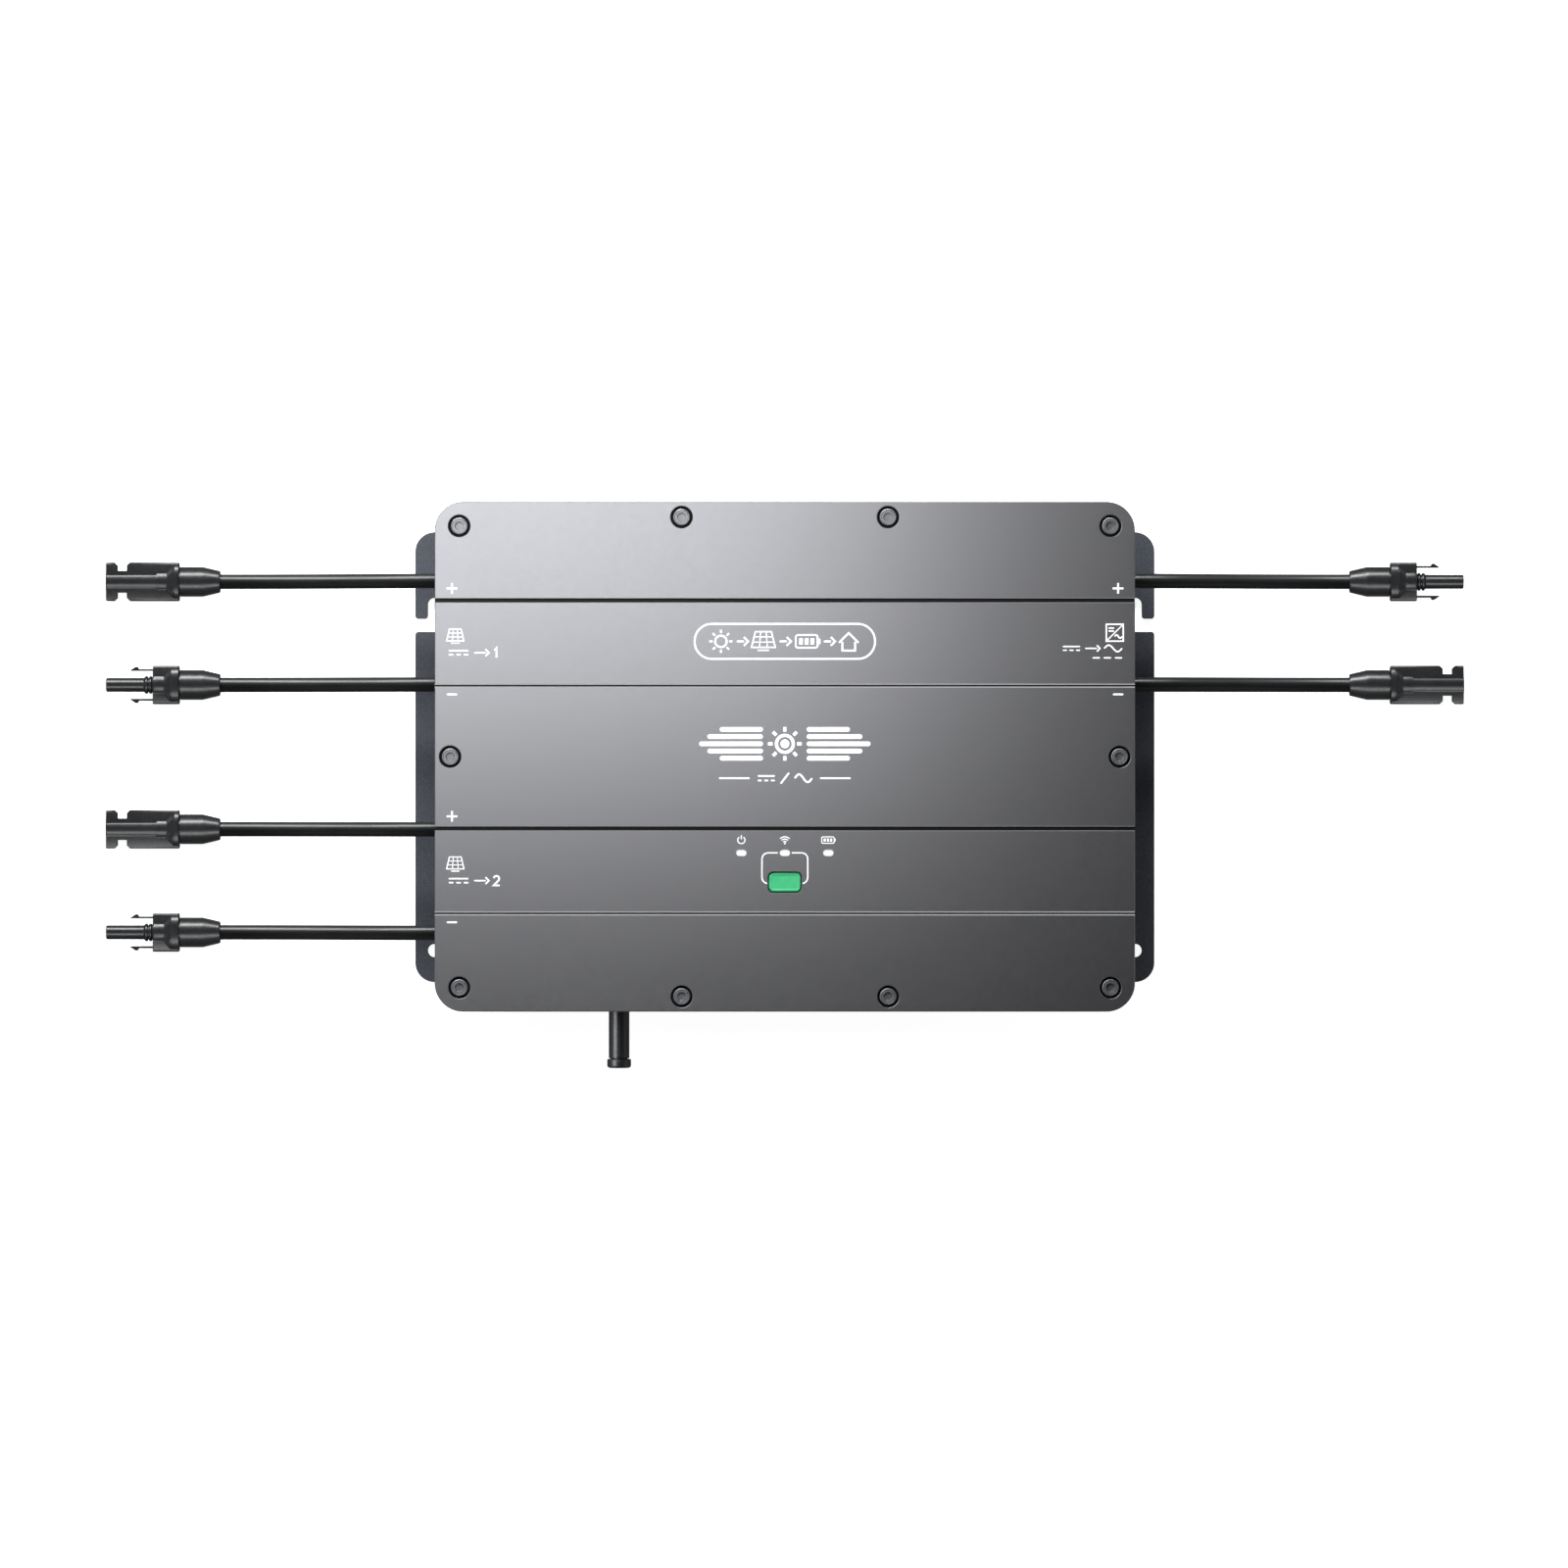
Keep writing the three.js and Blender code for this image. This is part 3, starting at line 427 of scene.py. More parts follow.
# ---- Solids, as bmesh in millimetres ----
def solid(rings, ring_closed=False):
    """A closed surface through rings of points; ring_closed joins the last ring to the first."""
    bm = bmesh.new()
    rows = [[bm.verts.new(point) for point in ring] for ring in rings]
    following = rows[1:] + rows[:1] if ring_closed else rows[1:]
    for low, high in zip(rows, following):
        for i in range(len(low)):
            bm.faces.new((low[i - 1], low[i], high[i], high[i - 1]))
    if not ring_closed:
        bm.faces.new(rows[0])
        bm.faces.new(rows[-1])
    bmesh.ops.remove_doubles(bm, verts=bm.verts, dist=1e-5)
    bmesh.ops.recalc_face_normals(bm, faces=bm.faces)
    return bm


def edge_levels(low, high, low_edge, high_edge, steps=3):
    """(inset, height) pairs that round off a block's lower and upper rims."""
    angles = [math.pi / 2 * i / steps for i in range(steps + 1)]
    lower = [(low_edge * (1 - math.sin(a)), low + low_edge * (1 - math.cos(a))) for a in angles]
    upper = [(high_edge * (1 - math.sin(a)), high - high_edge * (1 - math.cos(a))) for a in angles]
    return (lower if low_edge else [(0, low)]) + (upper[::-1] if high_edge else [(0, high)])


def rounded_block(width, height, corner, levels, centre=(0, 0), steps=10):
    """A block along Z with round corners; levels give its inset at each height."""
    rings = []
    for inset, z in levels:
        shape = round_rect(width - 2 * inset, height - 2 * inset, corner - inset, centre, steps)
        rings.append([(x, y, z) for x, y in shape])
    return solid(rings)


def prism(outline, low, high):
    return solid([[(x, y, z) for x, y in outline] for z in (low, high)])


def box(low, high):
    corners = ((low[0], low[1]), (high[0], low[1]), (high[0], high[1]), (low[0], high[1]))
    return prism(corners, low[2], high[2])


AXES = {
    "x": lambda radius, angle, along: (along, radius * math.cos(angle), radius * math.sin(angle)),
    "y": lambda radius, angle, along: (radius * math.sin(angle), along, radius * math.cos(angle)),
    "z": lambda radius, angle, along: (radius * math.cos(angle), radius * math.sin(angle), along),
}


def turned(profile, axis="z", steps=48, hollow=False):
    """A profile of (radius, distance along the axis); a hollow one closes on itself."""
    place = AXES[axis]
    angles = [2 * math.pi * i / steps for i in range(steps)]
    rings = [[place(radius, a, along) for a in angles] for radius, along in profile]
    return solid(rings, hollow)


def drill(low, high, radius, axis="z", steps=24):
    return turned([(0, low), (radius, low), (radius, high), (0, high)], axis, steps)


def moved(bm, x=0, y=0, z=0):
    bmesh.ops.translate(bm, vec=(x, y, z), verts=bm.verts)
    return bm


def merged(*parts):
    """Several solids in one bmesh. They don't overlap."""
    whole = bmesh.new()
    mesh = bpy.data.meshes.new("merged")
    for part in parts:
        part.to_mesh(mesh)
        whole.from_mesh(mesh)
        part.free()
    bpy.data.meshes.remove(mesh)
    return whole


def bevelled(bm, width, segments=2, angle=40):
    """Rounds every edge that is sharper than the angle."""
    sharp = [e for e in bm.edges if e.calc_face_angle(0) > math.radians(angle)]
    options = {"profile": 0.5, "affect": "EDGES", "clamp_overlap": True}
    bmesh.ops.bevel(bm, geom=sharp, offset=width, segments=segments, **options)
    return bm


def combined(base, operation, *tools):
    """Cuts each tool from the base, or joins it on, and tidies the faces that lie in one plane."""
    scene = bpy.context.scene
    made = []
    for bm in (base, *tools):
        mesh = bpy.data.meshes.new("scratch")
        bm.to_mesh(mesh)
        bm.free()
        made.append(bpy.data.objects.new("scratch", mesh))
        scene.collection.objects.link(made[-1])
    for tool in made[1:]:
        modifier = made[0].modifiers.new("combine", "BOOLEAN")
        modifier.operation = operation
        modifier.solver = "EXACT"
        modifier.object = tool
    result = bmesh.new()
    result.from_object(made[0], bpy.context.evaluated_depsgraph_get())
    for scratch in made:
        mesh = scratch.data
        bpy.data.objects.remove(scratch)
        bpy.data.meshes.remove(mesh)
    bmesh.ops.remove_doubles(result, verts=result.verts, dist=1e-4)
    bmesh.ops.dissolve_limit(
        result, angle_limit=math.radians(0.4), verts=result.verts, edges=result.edges
    )
    return result


def cut(base, *tools):
    return combined(base, "DIFFERENCE", *tools)


def join(base, *tools):
    return combined(base, "UNION", *tools)


def mesh_of(name, bm, *materials, smooth=32):
    """The mesh in metres. Edges sharper than the angle stay sharp."""
    bmesh.ops.scale(bm, vec=(MM, MM, MM), verts=bm.verts)
    mesh = bpy.data.meshes.new(name)
    bm.to_mesh(mesh)
    bm.free()
    for material in materials:
        mesh.materials.append(material)
    mesh.shade_smooth()
    mesh.set_sharp_from_angle(angle=math.radians(smooth))
    return mesh


def piece(name, mesh, slot, *nodes, body="hub", place=None):
    """A piece of the object that rides on a body and stands for CAD nodes."""
    item = bpy.data.objects.new(name, mesh)
    bpy.context.scene.collection.objects.link(item)
    normals = item.modifiers.new("face_weighted_normals", "WEIGHTED_NORMAL")
    normals.keep_sharp = True
    if place is not None:
        item.matrix_world = place
    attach(item, body)
    if nodes:
        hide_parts(*nodes)
    return item


# ---- Leads: the cords come first ----
def row_frame(side, y):
    """The place of a lead's row: its own X runs away from the case."""
    turn = Matrix.Rotation(0 if side > 0 else math.pi, 4, "Z")
    return Matrix.Translation((0, y * MM, 0)) @ turn


def smooth_route(points, steps=4):
    """More points on a smooth curve through the given ones (Catmull-Rom)."""
    points = [Vector((x, 0, z)) for x, z in points]
    points = [2 * points[0] - points[1], *points, 2 * points[-1] - points[-2]]
    route = [points[1]]
    for a, b, c, d in zip(points, points[1:], points[2:], points[3:]):
        for i in range(1, steps + 1):
            t = i / steps
            square, cube = 2 * a - 5 * b + 4 * c - d, 3 * b - a - 3 * c + d
            route.append(b + (c - a) * t / 2 + square * t**2 / 2 + cube * t**3 / 2)
    return route


def tube(route, radius, sides=28):
    """A round tube along a route that lies in the plane y = 0."""
    rings = []
    for i, point in enumerate(route):
        along = (route[min(i + 1, len(route) - 1)] - route[max(i - 1, 0)]).normalized()
        up = Vector((-along.z, 0, along.x))
        side = Vector((0, 1, 0))
        angles = [2 * math.pi * k / sides for k in range(sides)]
        rings.append([point / MM + (up * math.cos(a) + side * math.sin(a)) * radius for a in angles])
    return solid(rings)


LEAD_LINE = smooth_route(LEAD_ROUTE)


def lay_lead(name, mesh, side, y):
    row = row_frame(side, y)
    lead = piece(f"{name}_cable", mesh, "cable", f"{name}_lead", place=row)


# ---- Connectors, in their own frame: +X is the mating direction and x = 0 the cable end ----
NUT_END = 19.7
BODY_START = 20.0
PLUG_FACE = 32.9
CONNECTOR_END = 56.0
HALF_WIDTH = 9.45
HALF_DEPTH = 7.35
SLAB_DEPTH = 5.35  # half the thickness of the flat wings
BARREL = 6.1
COLLAR = 6.6
WING_EDGE = 0.35
LATCH_ROOT = 31.4


def oval(x, across, up, power, steps=64):
    """A cross-section at x: power 2 is an ellipse, and a higher one is squarer."""
    ring = []
    for i in range(steps):
        c, s = math.cos(2 * math.pi * i / steps), math.sin(2 * math.pi * i / steps)
        radius = (abs(c / across) ** power + abs(s / up) ** power) ** (-1 / power)
        ring.append((x, radius * c, radius * s))
    return ring


def connector_core(flange_end, fan_end, collar_end, barrel_end):
    """The rear flange, the fan that narrows from it, the collar and the barrel, in one loft."""
    neck, squareness, fan_steps = 6.1, 2.6, 10
    rear = (
        (BODY_START, 0.35, 0.3),
        (BODY_START + 0.35, 0.05, 0),
        (flange_end - 0.3, 0.05, 0),
        (flange_end, 0.3, 0.2),
    )
    sections = [(NUT_END - 1.0, neck, neck, 2), (BODY_START - 0.05, neck, neck, 2)]
    for x, side_inset, face_inset in rear:
        sections.append((x, HALF_WIDTH - side_inset, HALF_DEPTH - face_inset, squareness))
    for i in range(1, fan_steps + 1):
        share = i / fan_steps
        across = COLLAR + (HALF_WIDTH - 0.35 - COLLAR) * (1 - share) ** 1.1
        up = COLLAR + (HALF_DEPTH - 0.25 - COLLAR) * (1 - share) ** 1.8
        power = 2 + 1.6 * (1 - share)
        sections.append((flange_end + (fan_end - flange_end) * share, across, up, power))
    rounds = [(collar_end - 0.9, COLLAR), (collar_end, BARREL + 0.05)]
    if barrel_end > collar_end:
        rounds += [(barrel_end - 0.4, BARREL), (barrel_end, BARREL - 0.4)]
    sections += [(x, radius, radius, 2) for x, radius in rounds]
    return solid([oval(*section) for section in sections])


def wings(low, high, edge):
    """The slab: its faces bulge a little, with a chamfer along its four long edges."""
    chamfer, bulge = 0.5, 1.0
    reach = HALF_WIDTH - chamfer
    radius = (reach**2 + bulge**2) / (2 * bulge)
    spread = math.degrees(math.asin(reach / radius))
    face = arc((0, SLAB_DEPTH - radius), radius, 90 - spread, 90 + spread, 24)
    side = SLAB_DEPTH - bulge - chamfer
    half = [(HALF_WIDTH, side), *face, (-HALF_WIDTH, side)]
    outline = half + [(-y, -z) for y, z in half]
    rings = []
    for inset, x in edge_levels(low, high, edge, edge):
        share = (1 - inset / HALF_WIDTH, 1 - inset / SLAB_DEPTH)
        rings.append([(x, y * share[0], z * share[1]) for y, z in outline])
    return solid(rings)


def notch_cutter(side):
    """One of the two windows in a socket's sides where a plug's latch snaps in."""
    start, end, deep, chamfer, out = 45.6, 50.5, 5.3, 1.5, 10.3
    lip = out - HALF_WIDTH + chamfer
    corners = [
        (start - lip, out),
        (start, out - lip),
        (start, deep),
        (end, deep),
        (end, out - lip),
        (end + lip, out),
    ]
    points = [(x, y * side) for x, y in corners]
    return prism(points if side < 0 else points[::-1], -8, 8)


def side_slots(start, end, inner, outer, half):
    """The room for both latch arms: a slot on each side, from x = start to x = end."""
    sides = (sorted((side * inner, side * outer)) for side in (-1, 1))
    return merged(*(box((start, low, -half), (end, high, half)) for low, high in sides))


def socket_body():
    """The body with its bore, and a slot and a window on each side for a plug's latch arms."""
    start, bore, mouth, beyond = 32, 3.75, 4.8, CONNECTOR_END + 1
    profile = [(0, start), (bore, start), (bore, 50.4), (mouth, 51.0)]
    profile += [(mouth, CONNECTOR_END - 0.3), (mouth + 0.3, beyond), (0, beyond)]
    body = join(
        connector_core(22.4, 26.4, 31.4, CONNECTOR_END),
        wings(BODY_START + 0.2, CONNECTOR_END - 0.1, WING_EDGE),
    )
    return cut(
        body,
        merged(notch_cutter(-1), notch_cutter(1)),
        turned(profile, "x"),
        side_slots(49.5, beyond, 6.35, 8.35, 2.8),
    )


def plug_body():
    """The body with a pocket for each latch arm, two sealing ribs and the long nose."""
    face, neck, nose, pin = PLUG_FACE, 3.55, 3.45, 1.9
    profile = [(0, face - 2), (4.2, face - 2), (4.2, face + 0.2)]
    for rib in (face + 1.25, face + 3.3):
        profile += [(neck + r, rib + x) for x, r in arc((0, 0), 0.85, 180, 0, 8)]
    profile += [(3.7, face + 4.3), (nose, face + 4.6), (nose, CONNECTOR_END - 0.4)]
    profile += [(nose - 0.4, CONNECTOR_END), (0, CONNECTOR_END)]
    body = join(
        connector_core(24.0, 27.6, face, face),
        wings(BODY_START + 0.2, face, WING_EDGE),
        turned(profile, "x"),
    )
    bore = [(0, 40), (pin, 40), (pin, CONNECTOR_END - 0.4)]
    bore += [(pin + 0.3, CONNECTOR_END + 1), (0, CONNECTOR_END + 1)]
    pockets = side_slots(LATCH_ROOT - 0.7, face + 1, 6.3, 8.3, 2.9)
    return cut(body, turned(bore, "x", 32), pockets)


def latch_arm():
    """The arm on a plug's +Y side, with its barb facing outwards."""
    inner, outer, tip, half = 6.85, 7.75, 44.1, 2.4
    outline = rounded(
        [
            (LATCH_ROOT, inner, 0.2),
            (tip - 0.2, inner, 0.1),
            (tip, inner + 0.3, 0.1),
            (tip - 2.6, outer + 1.1, 0.25),
            (tip - 3.6, outer + 1.1, 0.2),
            (tip - 4.2, outer, 0.3),
            (LATCH_ROOT, outer, 0.2),
        ],
        4,
    )
    return bevelled(prism(outline, -half, half), 0.12)


def back_nut():
    """The screwed nut: a hollow cylinder that tapers to the cable, with softened rims."""
    bore, radius, recess = 3.85, 7.3, 6.3
    profile = [(bore, 0.3), (bore + 0.25, 0), (5.1, 0), (5.35, 0.25), (5.5, 0.9)]
    profile += [(radius - 0.2, 7.7), (radius - 0.03, 8.4), (radius, 9.0), (radius, NUT_END - 0.4)]
    profile += [(radius - 0.2, NUT_END - 0.05), (recess, NUT_END - 0.05)]
    profile += [(recess, NUT_END - 1.2), (bore, NUT_END - 1.2)]
    return turned(profile, "x", 64, hollow=True)


def contact(kind):
    """A plug's pin, or a socket's sleeve."""
    if kind == "plug":
        profile = [(0, 41), (1.5, 41), (1.5, 54.6), (1.1, 55.4), (0, 55.6)]
        return turned(profile, "x", 32)
    profile = [(1.7, 33), (2.5, 33), (2.5, 51.5), (2.1, 52), (1.7, 51.5)]
    return turned(profile, "x", 32, hollow=True)


def hexagon(across_flats):
    return circle(across_flats / math.sqrt(3), 6)


def gland():
    """A cable gland: hexagon, then a ribbed dome round the cable."""
    wall, bore, shank, inner = TUB_SIDE, 3.8, 5.15, 150
    nut = bevelled(prism(circle(6.6, 6), 0, 2.6), 0.25)
    turn = Matrix.Rotation(math.pi / 2, 4, "Y")
    bmesh.ops.transform(nut, matrix=Matrix.Translation((wall, 0, 0)) @ turn, verts=nut.verts)
    dome = [(bore, inner), (shank, inner), (shank, wall + 0.2), (5.9, wall + 0.2), (5.9, wall + 3.4)]
    for rib in (wall + 4.2, wall + 5.9):
        dome += [(5.5, rib), (5.2, rib + 0.35), (5.2, rib + 0.75), (5.5, rib + 1.1)]
    end = LEAD_EXIT[0]
    dome += [(5.1, end - 0.9), (4.7, end - 0.2), (4.1, end), (bore, end - 0.2)]
    nut = cut(nut, drill(inner, end + 2.5, 4.2, "x", 48))
    return join(nut, turned(dome, "x", 48, hollow=True))


def add_leads():
    meshes = {
        "lead": mesh_of("lead", tube(LEAD_LINE, LEAD_DIAMETER / 2), JACKET),
        "socket": mesh_of("socket_body", socket_body(), CONNECTOR_PLASTIC),
        "plug": mesh_of("plug_body", plug_body(), CONNECTOR_PLASTIC),
        "arm": mesh_of("latch_arm", latch_arm(), CONNECTOR_PLASTIC),
        "nut": mesh_of("back_nut", back_nut(), CONNECTOR_PLASTIC),
        "gland": mesh_of("gland", gland(), RUBBER),
        "plug_contact": mesh_of("pin", contact("plug"), TIN),
        "socket_contact": mesh_of("sleeve", contact("socket"), TIN),
    }
    for name, side, y, kind in LEADS:
        row = row_frame(side, y)
        at_gland = row @ Matrix.Translation((0, 0, LEAD_EXIT[1] * MM))
        at_plug = row @ Matrix.Translation((CONNECTOR_START * MM, 0, CONNECTOR_HEIGHT * MM))
        body = f"{name}_{kind}_body"
        piece(f"{name}_cable_gland", meshes["gland"], "rubber", f"{name}_gland", place=at_gland)
        on_cord = [
            piece(f"{name}_nut", meshes["nut"], "connector", f"{name}_back_nut", place=at_plug),
            piece(f"{name}_{kind}", meshes[kind], "connector", body, place=at_plug),
            piece(f"{name}_contact", meshes[f"{kind}_contact"], "contact", place=at_plug),
        ]
        for letter, turn in (("a", 0), ("b", math.pi)) if kind == "plug" else ():
            arm = f"{name}_latch_{letter}"
            place = at_plug @ Matrix.Rotation(turn, 4, "X")
            on_cord.append(
                piece(f"{name}_arm_{letter}", meshes["arm"], "connector", arm, body=arm, place=place)
            )
        lay_lead(name, meshes["lead"], side, y)


add_leads()


# ---- Front cover ----
SCREWS = []
for node in sorted(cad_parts):
    if node.startswith("cover_screw"):
        screw_low, screw_high = mm_box(node)
        SCREWS.append((node, *((screw_low + screw_high) / 2).xy))

BUTTON_LOW, BUTTON_HIGH = mm_box("push_button")
BUTTON_Y = (BUTTON_LOW.y + BUTTON_HIGH.y) / 2
BUTTON = {"width": 15.7, "height": 9.6, "corner": 2.4}
OPENING_CLEAR = {"button": 0.35, "lamp": 0.15}
LAMPS = {"x": (-21.1, 0, 21.1), "y": -46.6, "width": 4.85, "height": 2.9}


def groove_cutter(groove, y):
    """A slot across the face with a chamfer along each rim."""
    half, depth, chamfer, over = groove["slot"] / 2, groove["depth"], groove["chamfer"], 1.0
    section = [
        (y - half, FACE - depth),
        (y + half, FACE - depth),
        (y + half, FACE - chamfer),
        (y + half + chamfer + over, FACE + over),
        (y - half - chamfer - over, FACE + over),
        (y - half, FACE - chamfer),
    ]
    return solid([[(x, *point) for point in section] for x in (-CASE_WIDTH, CASE_WIDTH)])


SEAT_RADIUS = 5.3
SEAT_RIM = 0.35
SEAT_LEVEL = 58
SHANK_HOLE = 2.8


def seat_cutter(x, y):
    """A counterbore with a slightly rounded rim, and the shank's hole below it."""
    bore, rim = SEAT_RADIUS, SEAT_RIM
    profile = [(0, UNDER_FLANGE), (SHANK_HOLE, UNDER_FLANGE)]
    profile += [(SHANK_HOLE, SEAT_LEVEL), (bore, SEAT_LEVEL)]
    profile += [(bore + rim - r, FACE - rim + z) for r, z in arc((0, 0), rim, 0, 90, 4)]
    profile += [(bore + rim, FACE + 1), (0, FACE + 1)]
    return moved(turned(profile, "z", 56), x, y)


def window_cutter(width, height, corner, x, y):
    """An opening through the face with a flared rim."""
    flare = 0.15
    levels = [(0, UNDER_COVER), (0, FACE - flare), (-flare * 0.3, FACE - flare * 0.3), (-flare, FACE)]
    return rounded_block(width, height, corner, [*levels, (-flare, FACE + 1)], (x, y))


def paint_recesses(mesh):
    """Bare metal with a painted highlight on the grooves' chamfers, and painted shade in the grooves and
    the screw seats.
    """
    bare, dark = 1, 2
    for polygon in mesh.polygons:
        x, y, z = polygon.center / MM
        if z > FACE - 0.01:
            continue
        from_screw = min(math.hypot(x - at_x, y - at_y) for _, at_x, at_y in SCREWS)
        # painted shade: the screw seats' floors and walls are coloured near-black
        if from_screw < SEAT_RADIUS + 0.01 and SEAT_LEVEL - 1 < z < FACE - SEAT_RIM:
            polygon.material_index = dark
        # painted shade on the grooves' floors and walls, and a painted highlight on their chamfers
        for groove in (WIDE_GROOVES, THIN_GROOVES):
            near = min(abs(y - row) for row in groove["rows"])
            if near > groove["slot"] / 2 + groove["chamfer"] or abs(polygon.normal.x) > 0.5:
                continue
            if z > FACE - groove["depth"] - 0.1:
                polygon.material_index = bare if 0.3 < polygon.normal.z < 0.9 else dark


def front_cover():
    levels = edge_levels(COVER_LOW.z, FACE, 0.5, 0.4, 4)
    plate = rounded_block(CASE_WIDTH, CASE_HEIGHT, CASE_CORNER, levels, steps=16)
    width, height, corner, deep = COVER_POCKET.values()
    pocket = rounded_block(width, height, corner, [(0, UNDER_COVER), (0, FACE - deep)])
    clear = 2 * OPENING_CLEAR["lamp"]
    size = (LAMPS["width"] + clear, LAMPS["height"] + clear, 1.59)
    windows = [window_cutter(*size, x, LAMPS["y"]) for x in LAMPS["x"]]
    clear = 2 * OPENING_CLEAR["button"]
    size = (BUTTON["width"] + clear, BUTTON["height"] + clear, 2.7)
    windows.append(window_cutter(*size, 0, BUTTON_Y))
    seats = [seat_cutter(x, y) for _, x, y in SCREWS]
    grooves = [groove_cutter(kind, y) for kind in (WIDE_GROOVES, THIN_GROOVES) for y in kind["rows"]]
    return cut(plate, pocket, merged(*grooves, *seats, *windows))


def add_front_cover():
    mesh = mesh_of("front_cover_shell", front_cover(), ANODISED, CUT_EDGE_PAINTED_HIGHLIGHT, PAINTED_RECESS_SHADE)
    paint_recesses(mesh)
    return piece("front_cover_shell", mesh, "anodised", "front_cover")


COVER_SHELL = add_front_cover()


# ---- Cover screws ----
def cap_screw():
    """A socket head cap screw, its head standing on z = 0."""
    top, head, shank, length = 5.0, 4.2, 2.45, 13.5
    profile = [(0, -length), (1.9, -length), (shank, 0.7 - length), (shank, 0)]
    profile += [(head - 0.15, 0), (head, 0.15)]
    edge = ((0, 0.6), (0.1, 0.25), (0.35, 0.06), (0.6, 0), (0.85, 0.05))
    groove = ((1, 0.25), (1.1, 0.25), (1.2, 0.08))
    profile += [(head - inset, top - drop) for inset, drop in edge + groove]
    profile.append((0, top - 0.08))
    key = prism(hexagon(3.9), top - 2.6, top + 1)
    countersink = turned([(0, top - 0.45), (2.0, top - 0.45), (2.5, top + 0.2), (0, top + 0.2)])
    return cut(turned(profile, "z", 56), key, countersink)


def add_cover_screws():
    mesh = mesh_of("cap_screw", cap_screw(), SCREW_STEEL)
    for node, x, y in SCREWS:
        place = Matrix.Translation((x * MM, y * MM, (SEAT_LEVEL + 0.3) * MM))
        piece(node.replace("cover_screw", "cap_screw"), mesh, "screw", node, place=place)


add_cover_screws()


# ---- Rear housing ----
def at_bosses(make):
    """The same piece, made afresh at each of the four places where the bracket is screwed on."""
    return [moved(make(), sx * BOSS["x"], sy * BOSS["y"]) for sx, sy in ALL_FOUR]


def shell():
    """The flange with the cover's outline, the tub behind it, its fins and its bosses."""
    levels = edge_levels(FLANGE_BACK, HOUSING_HIGH.z, 1.2, 0.5)
    flange = rounded_block(CASE_WIDTH, CASE_HEIGHT, CASE_CORNER, levels, steps=16)
    levels = edge_levels(TUB["back"], FLANGE_BACK + 1, 2.5, 0)
    tub = rounded_block(TUB["width"], TUB["height"], TUB["corner"], levels, steps=12)
    levels = edge_levels(HOUSING_LOW.z + 1.2, TUB["back"] + 1, 0.7, 0)
    fins = []
    for i in range(-FIN["each_side"], FIN["each_side"] + 1):
        at = (FIN["pitch"] * i, 0)
        fins.append(rounded_block(FIN["thick"], FIN["length"], 0.9, levels, at, 3))
    low, high, radius = BRACKET_HIGH.z + 0.3, TUB["back"] + 1, BOSS["radius"]
    boss = [(0, low), (radius - 0.3, low), (radius, low + 0.3), (radius, high), (0, high)]
    body = join(flange, tub)
    body = join(body, merged(*fins))
    return join(body, merged(*at_bosses(lambda: turned(boss))))


def seal_groove():
    """The ring in the flange's face that the gasket lies in."""
    sizes = [GASKET_GROOVE[name] for name in ("width", "height", "corner")]
    rings = []
    for grow, below in ((GASKET_GROOVE["across"], 0), (-GASKET_GROOVE["across"], 0.8)):
        grown = (sizes[0] + grow, sizes[1] + grow, sizes[2] + grow / 2)
        rings.append(rounded_block(*grown, [(0, GASKET_GROOVE["floor"] - below), (0, OVER_FLANGE)]))
    return cut(*rings)


def housing_holes():
    """The screws' holes, and the openings in the walls for the glands, antenna, vent and port."""
    holes = [moved(drill(UNDER_FLANGE, OVER_FLANGE, SHANK_HOLE), x, y) for _, x, y in SCREWS]
    holes += at_bosses(lambda: drill(0, BOSS["hole_end"], BOSS["hole"]))
    for _, side, y, _ in LEADS:
        hole = drill(TUB["width"] / 2 - 9, TUB["width"] / 2 + 1, 5.55, "x", 32)
        bmesh.ops.scale(hole, vec=(side, 1, 1), verts=hole.verts)
        bmesh.ops.recalc_face_normals(hole, faces=hole.faces)
        holes.append(moved(hole, 0, y, LEAD_EXIT[1]))
    outside, inside = TUB_END + 1, TUB_END - 9
    for x, z in WALL_HOLES:
        holes.append(moved(drill(-outside, -inside, WALL_HOLE_RADIUS, "y", 32), x, 0, z))
    sizes = (PORT["width"], PORT["depth"], PORT["corner"])
    port = rounded_block(*sizes, [(0, inside), (0, outside)], (PORT["x"], PORT["height"]), 6)
    bmesh.ops.rotate(port, matrix=Matrix.Rotation(math.pi / 2, 3, "X"), verts=port.verts)
    return [*holes, port]


def rear_housing():
    """The shell, hollowed out for the electronics."""
    width, height, corner, floor = TUB_HOLLOW.values()
    hollow = rounded_block(width, height, corner, [(0, floor), (0, OVER_FLANGE)])
    return cut(shell(), hollow, seal_groove(), merged(*housing_holes()))


def add_rear_housing():
    mesh = mesh_of("rear_housing_casting", rear_housing(), CASTING)
    piece("rear_housing_casting", mesh, "casting", "rear_housing")


add_rear_housing()


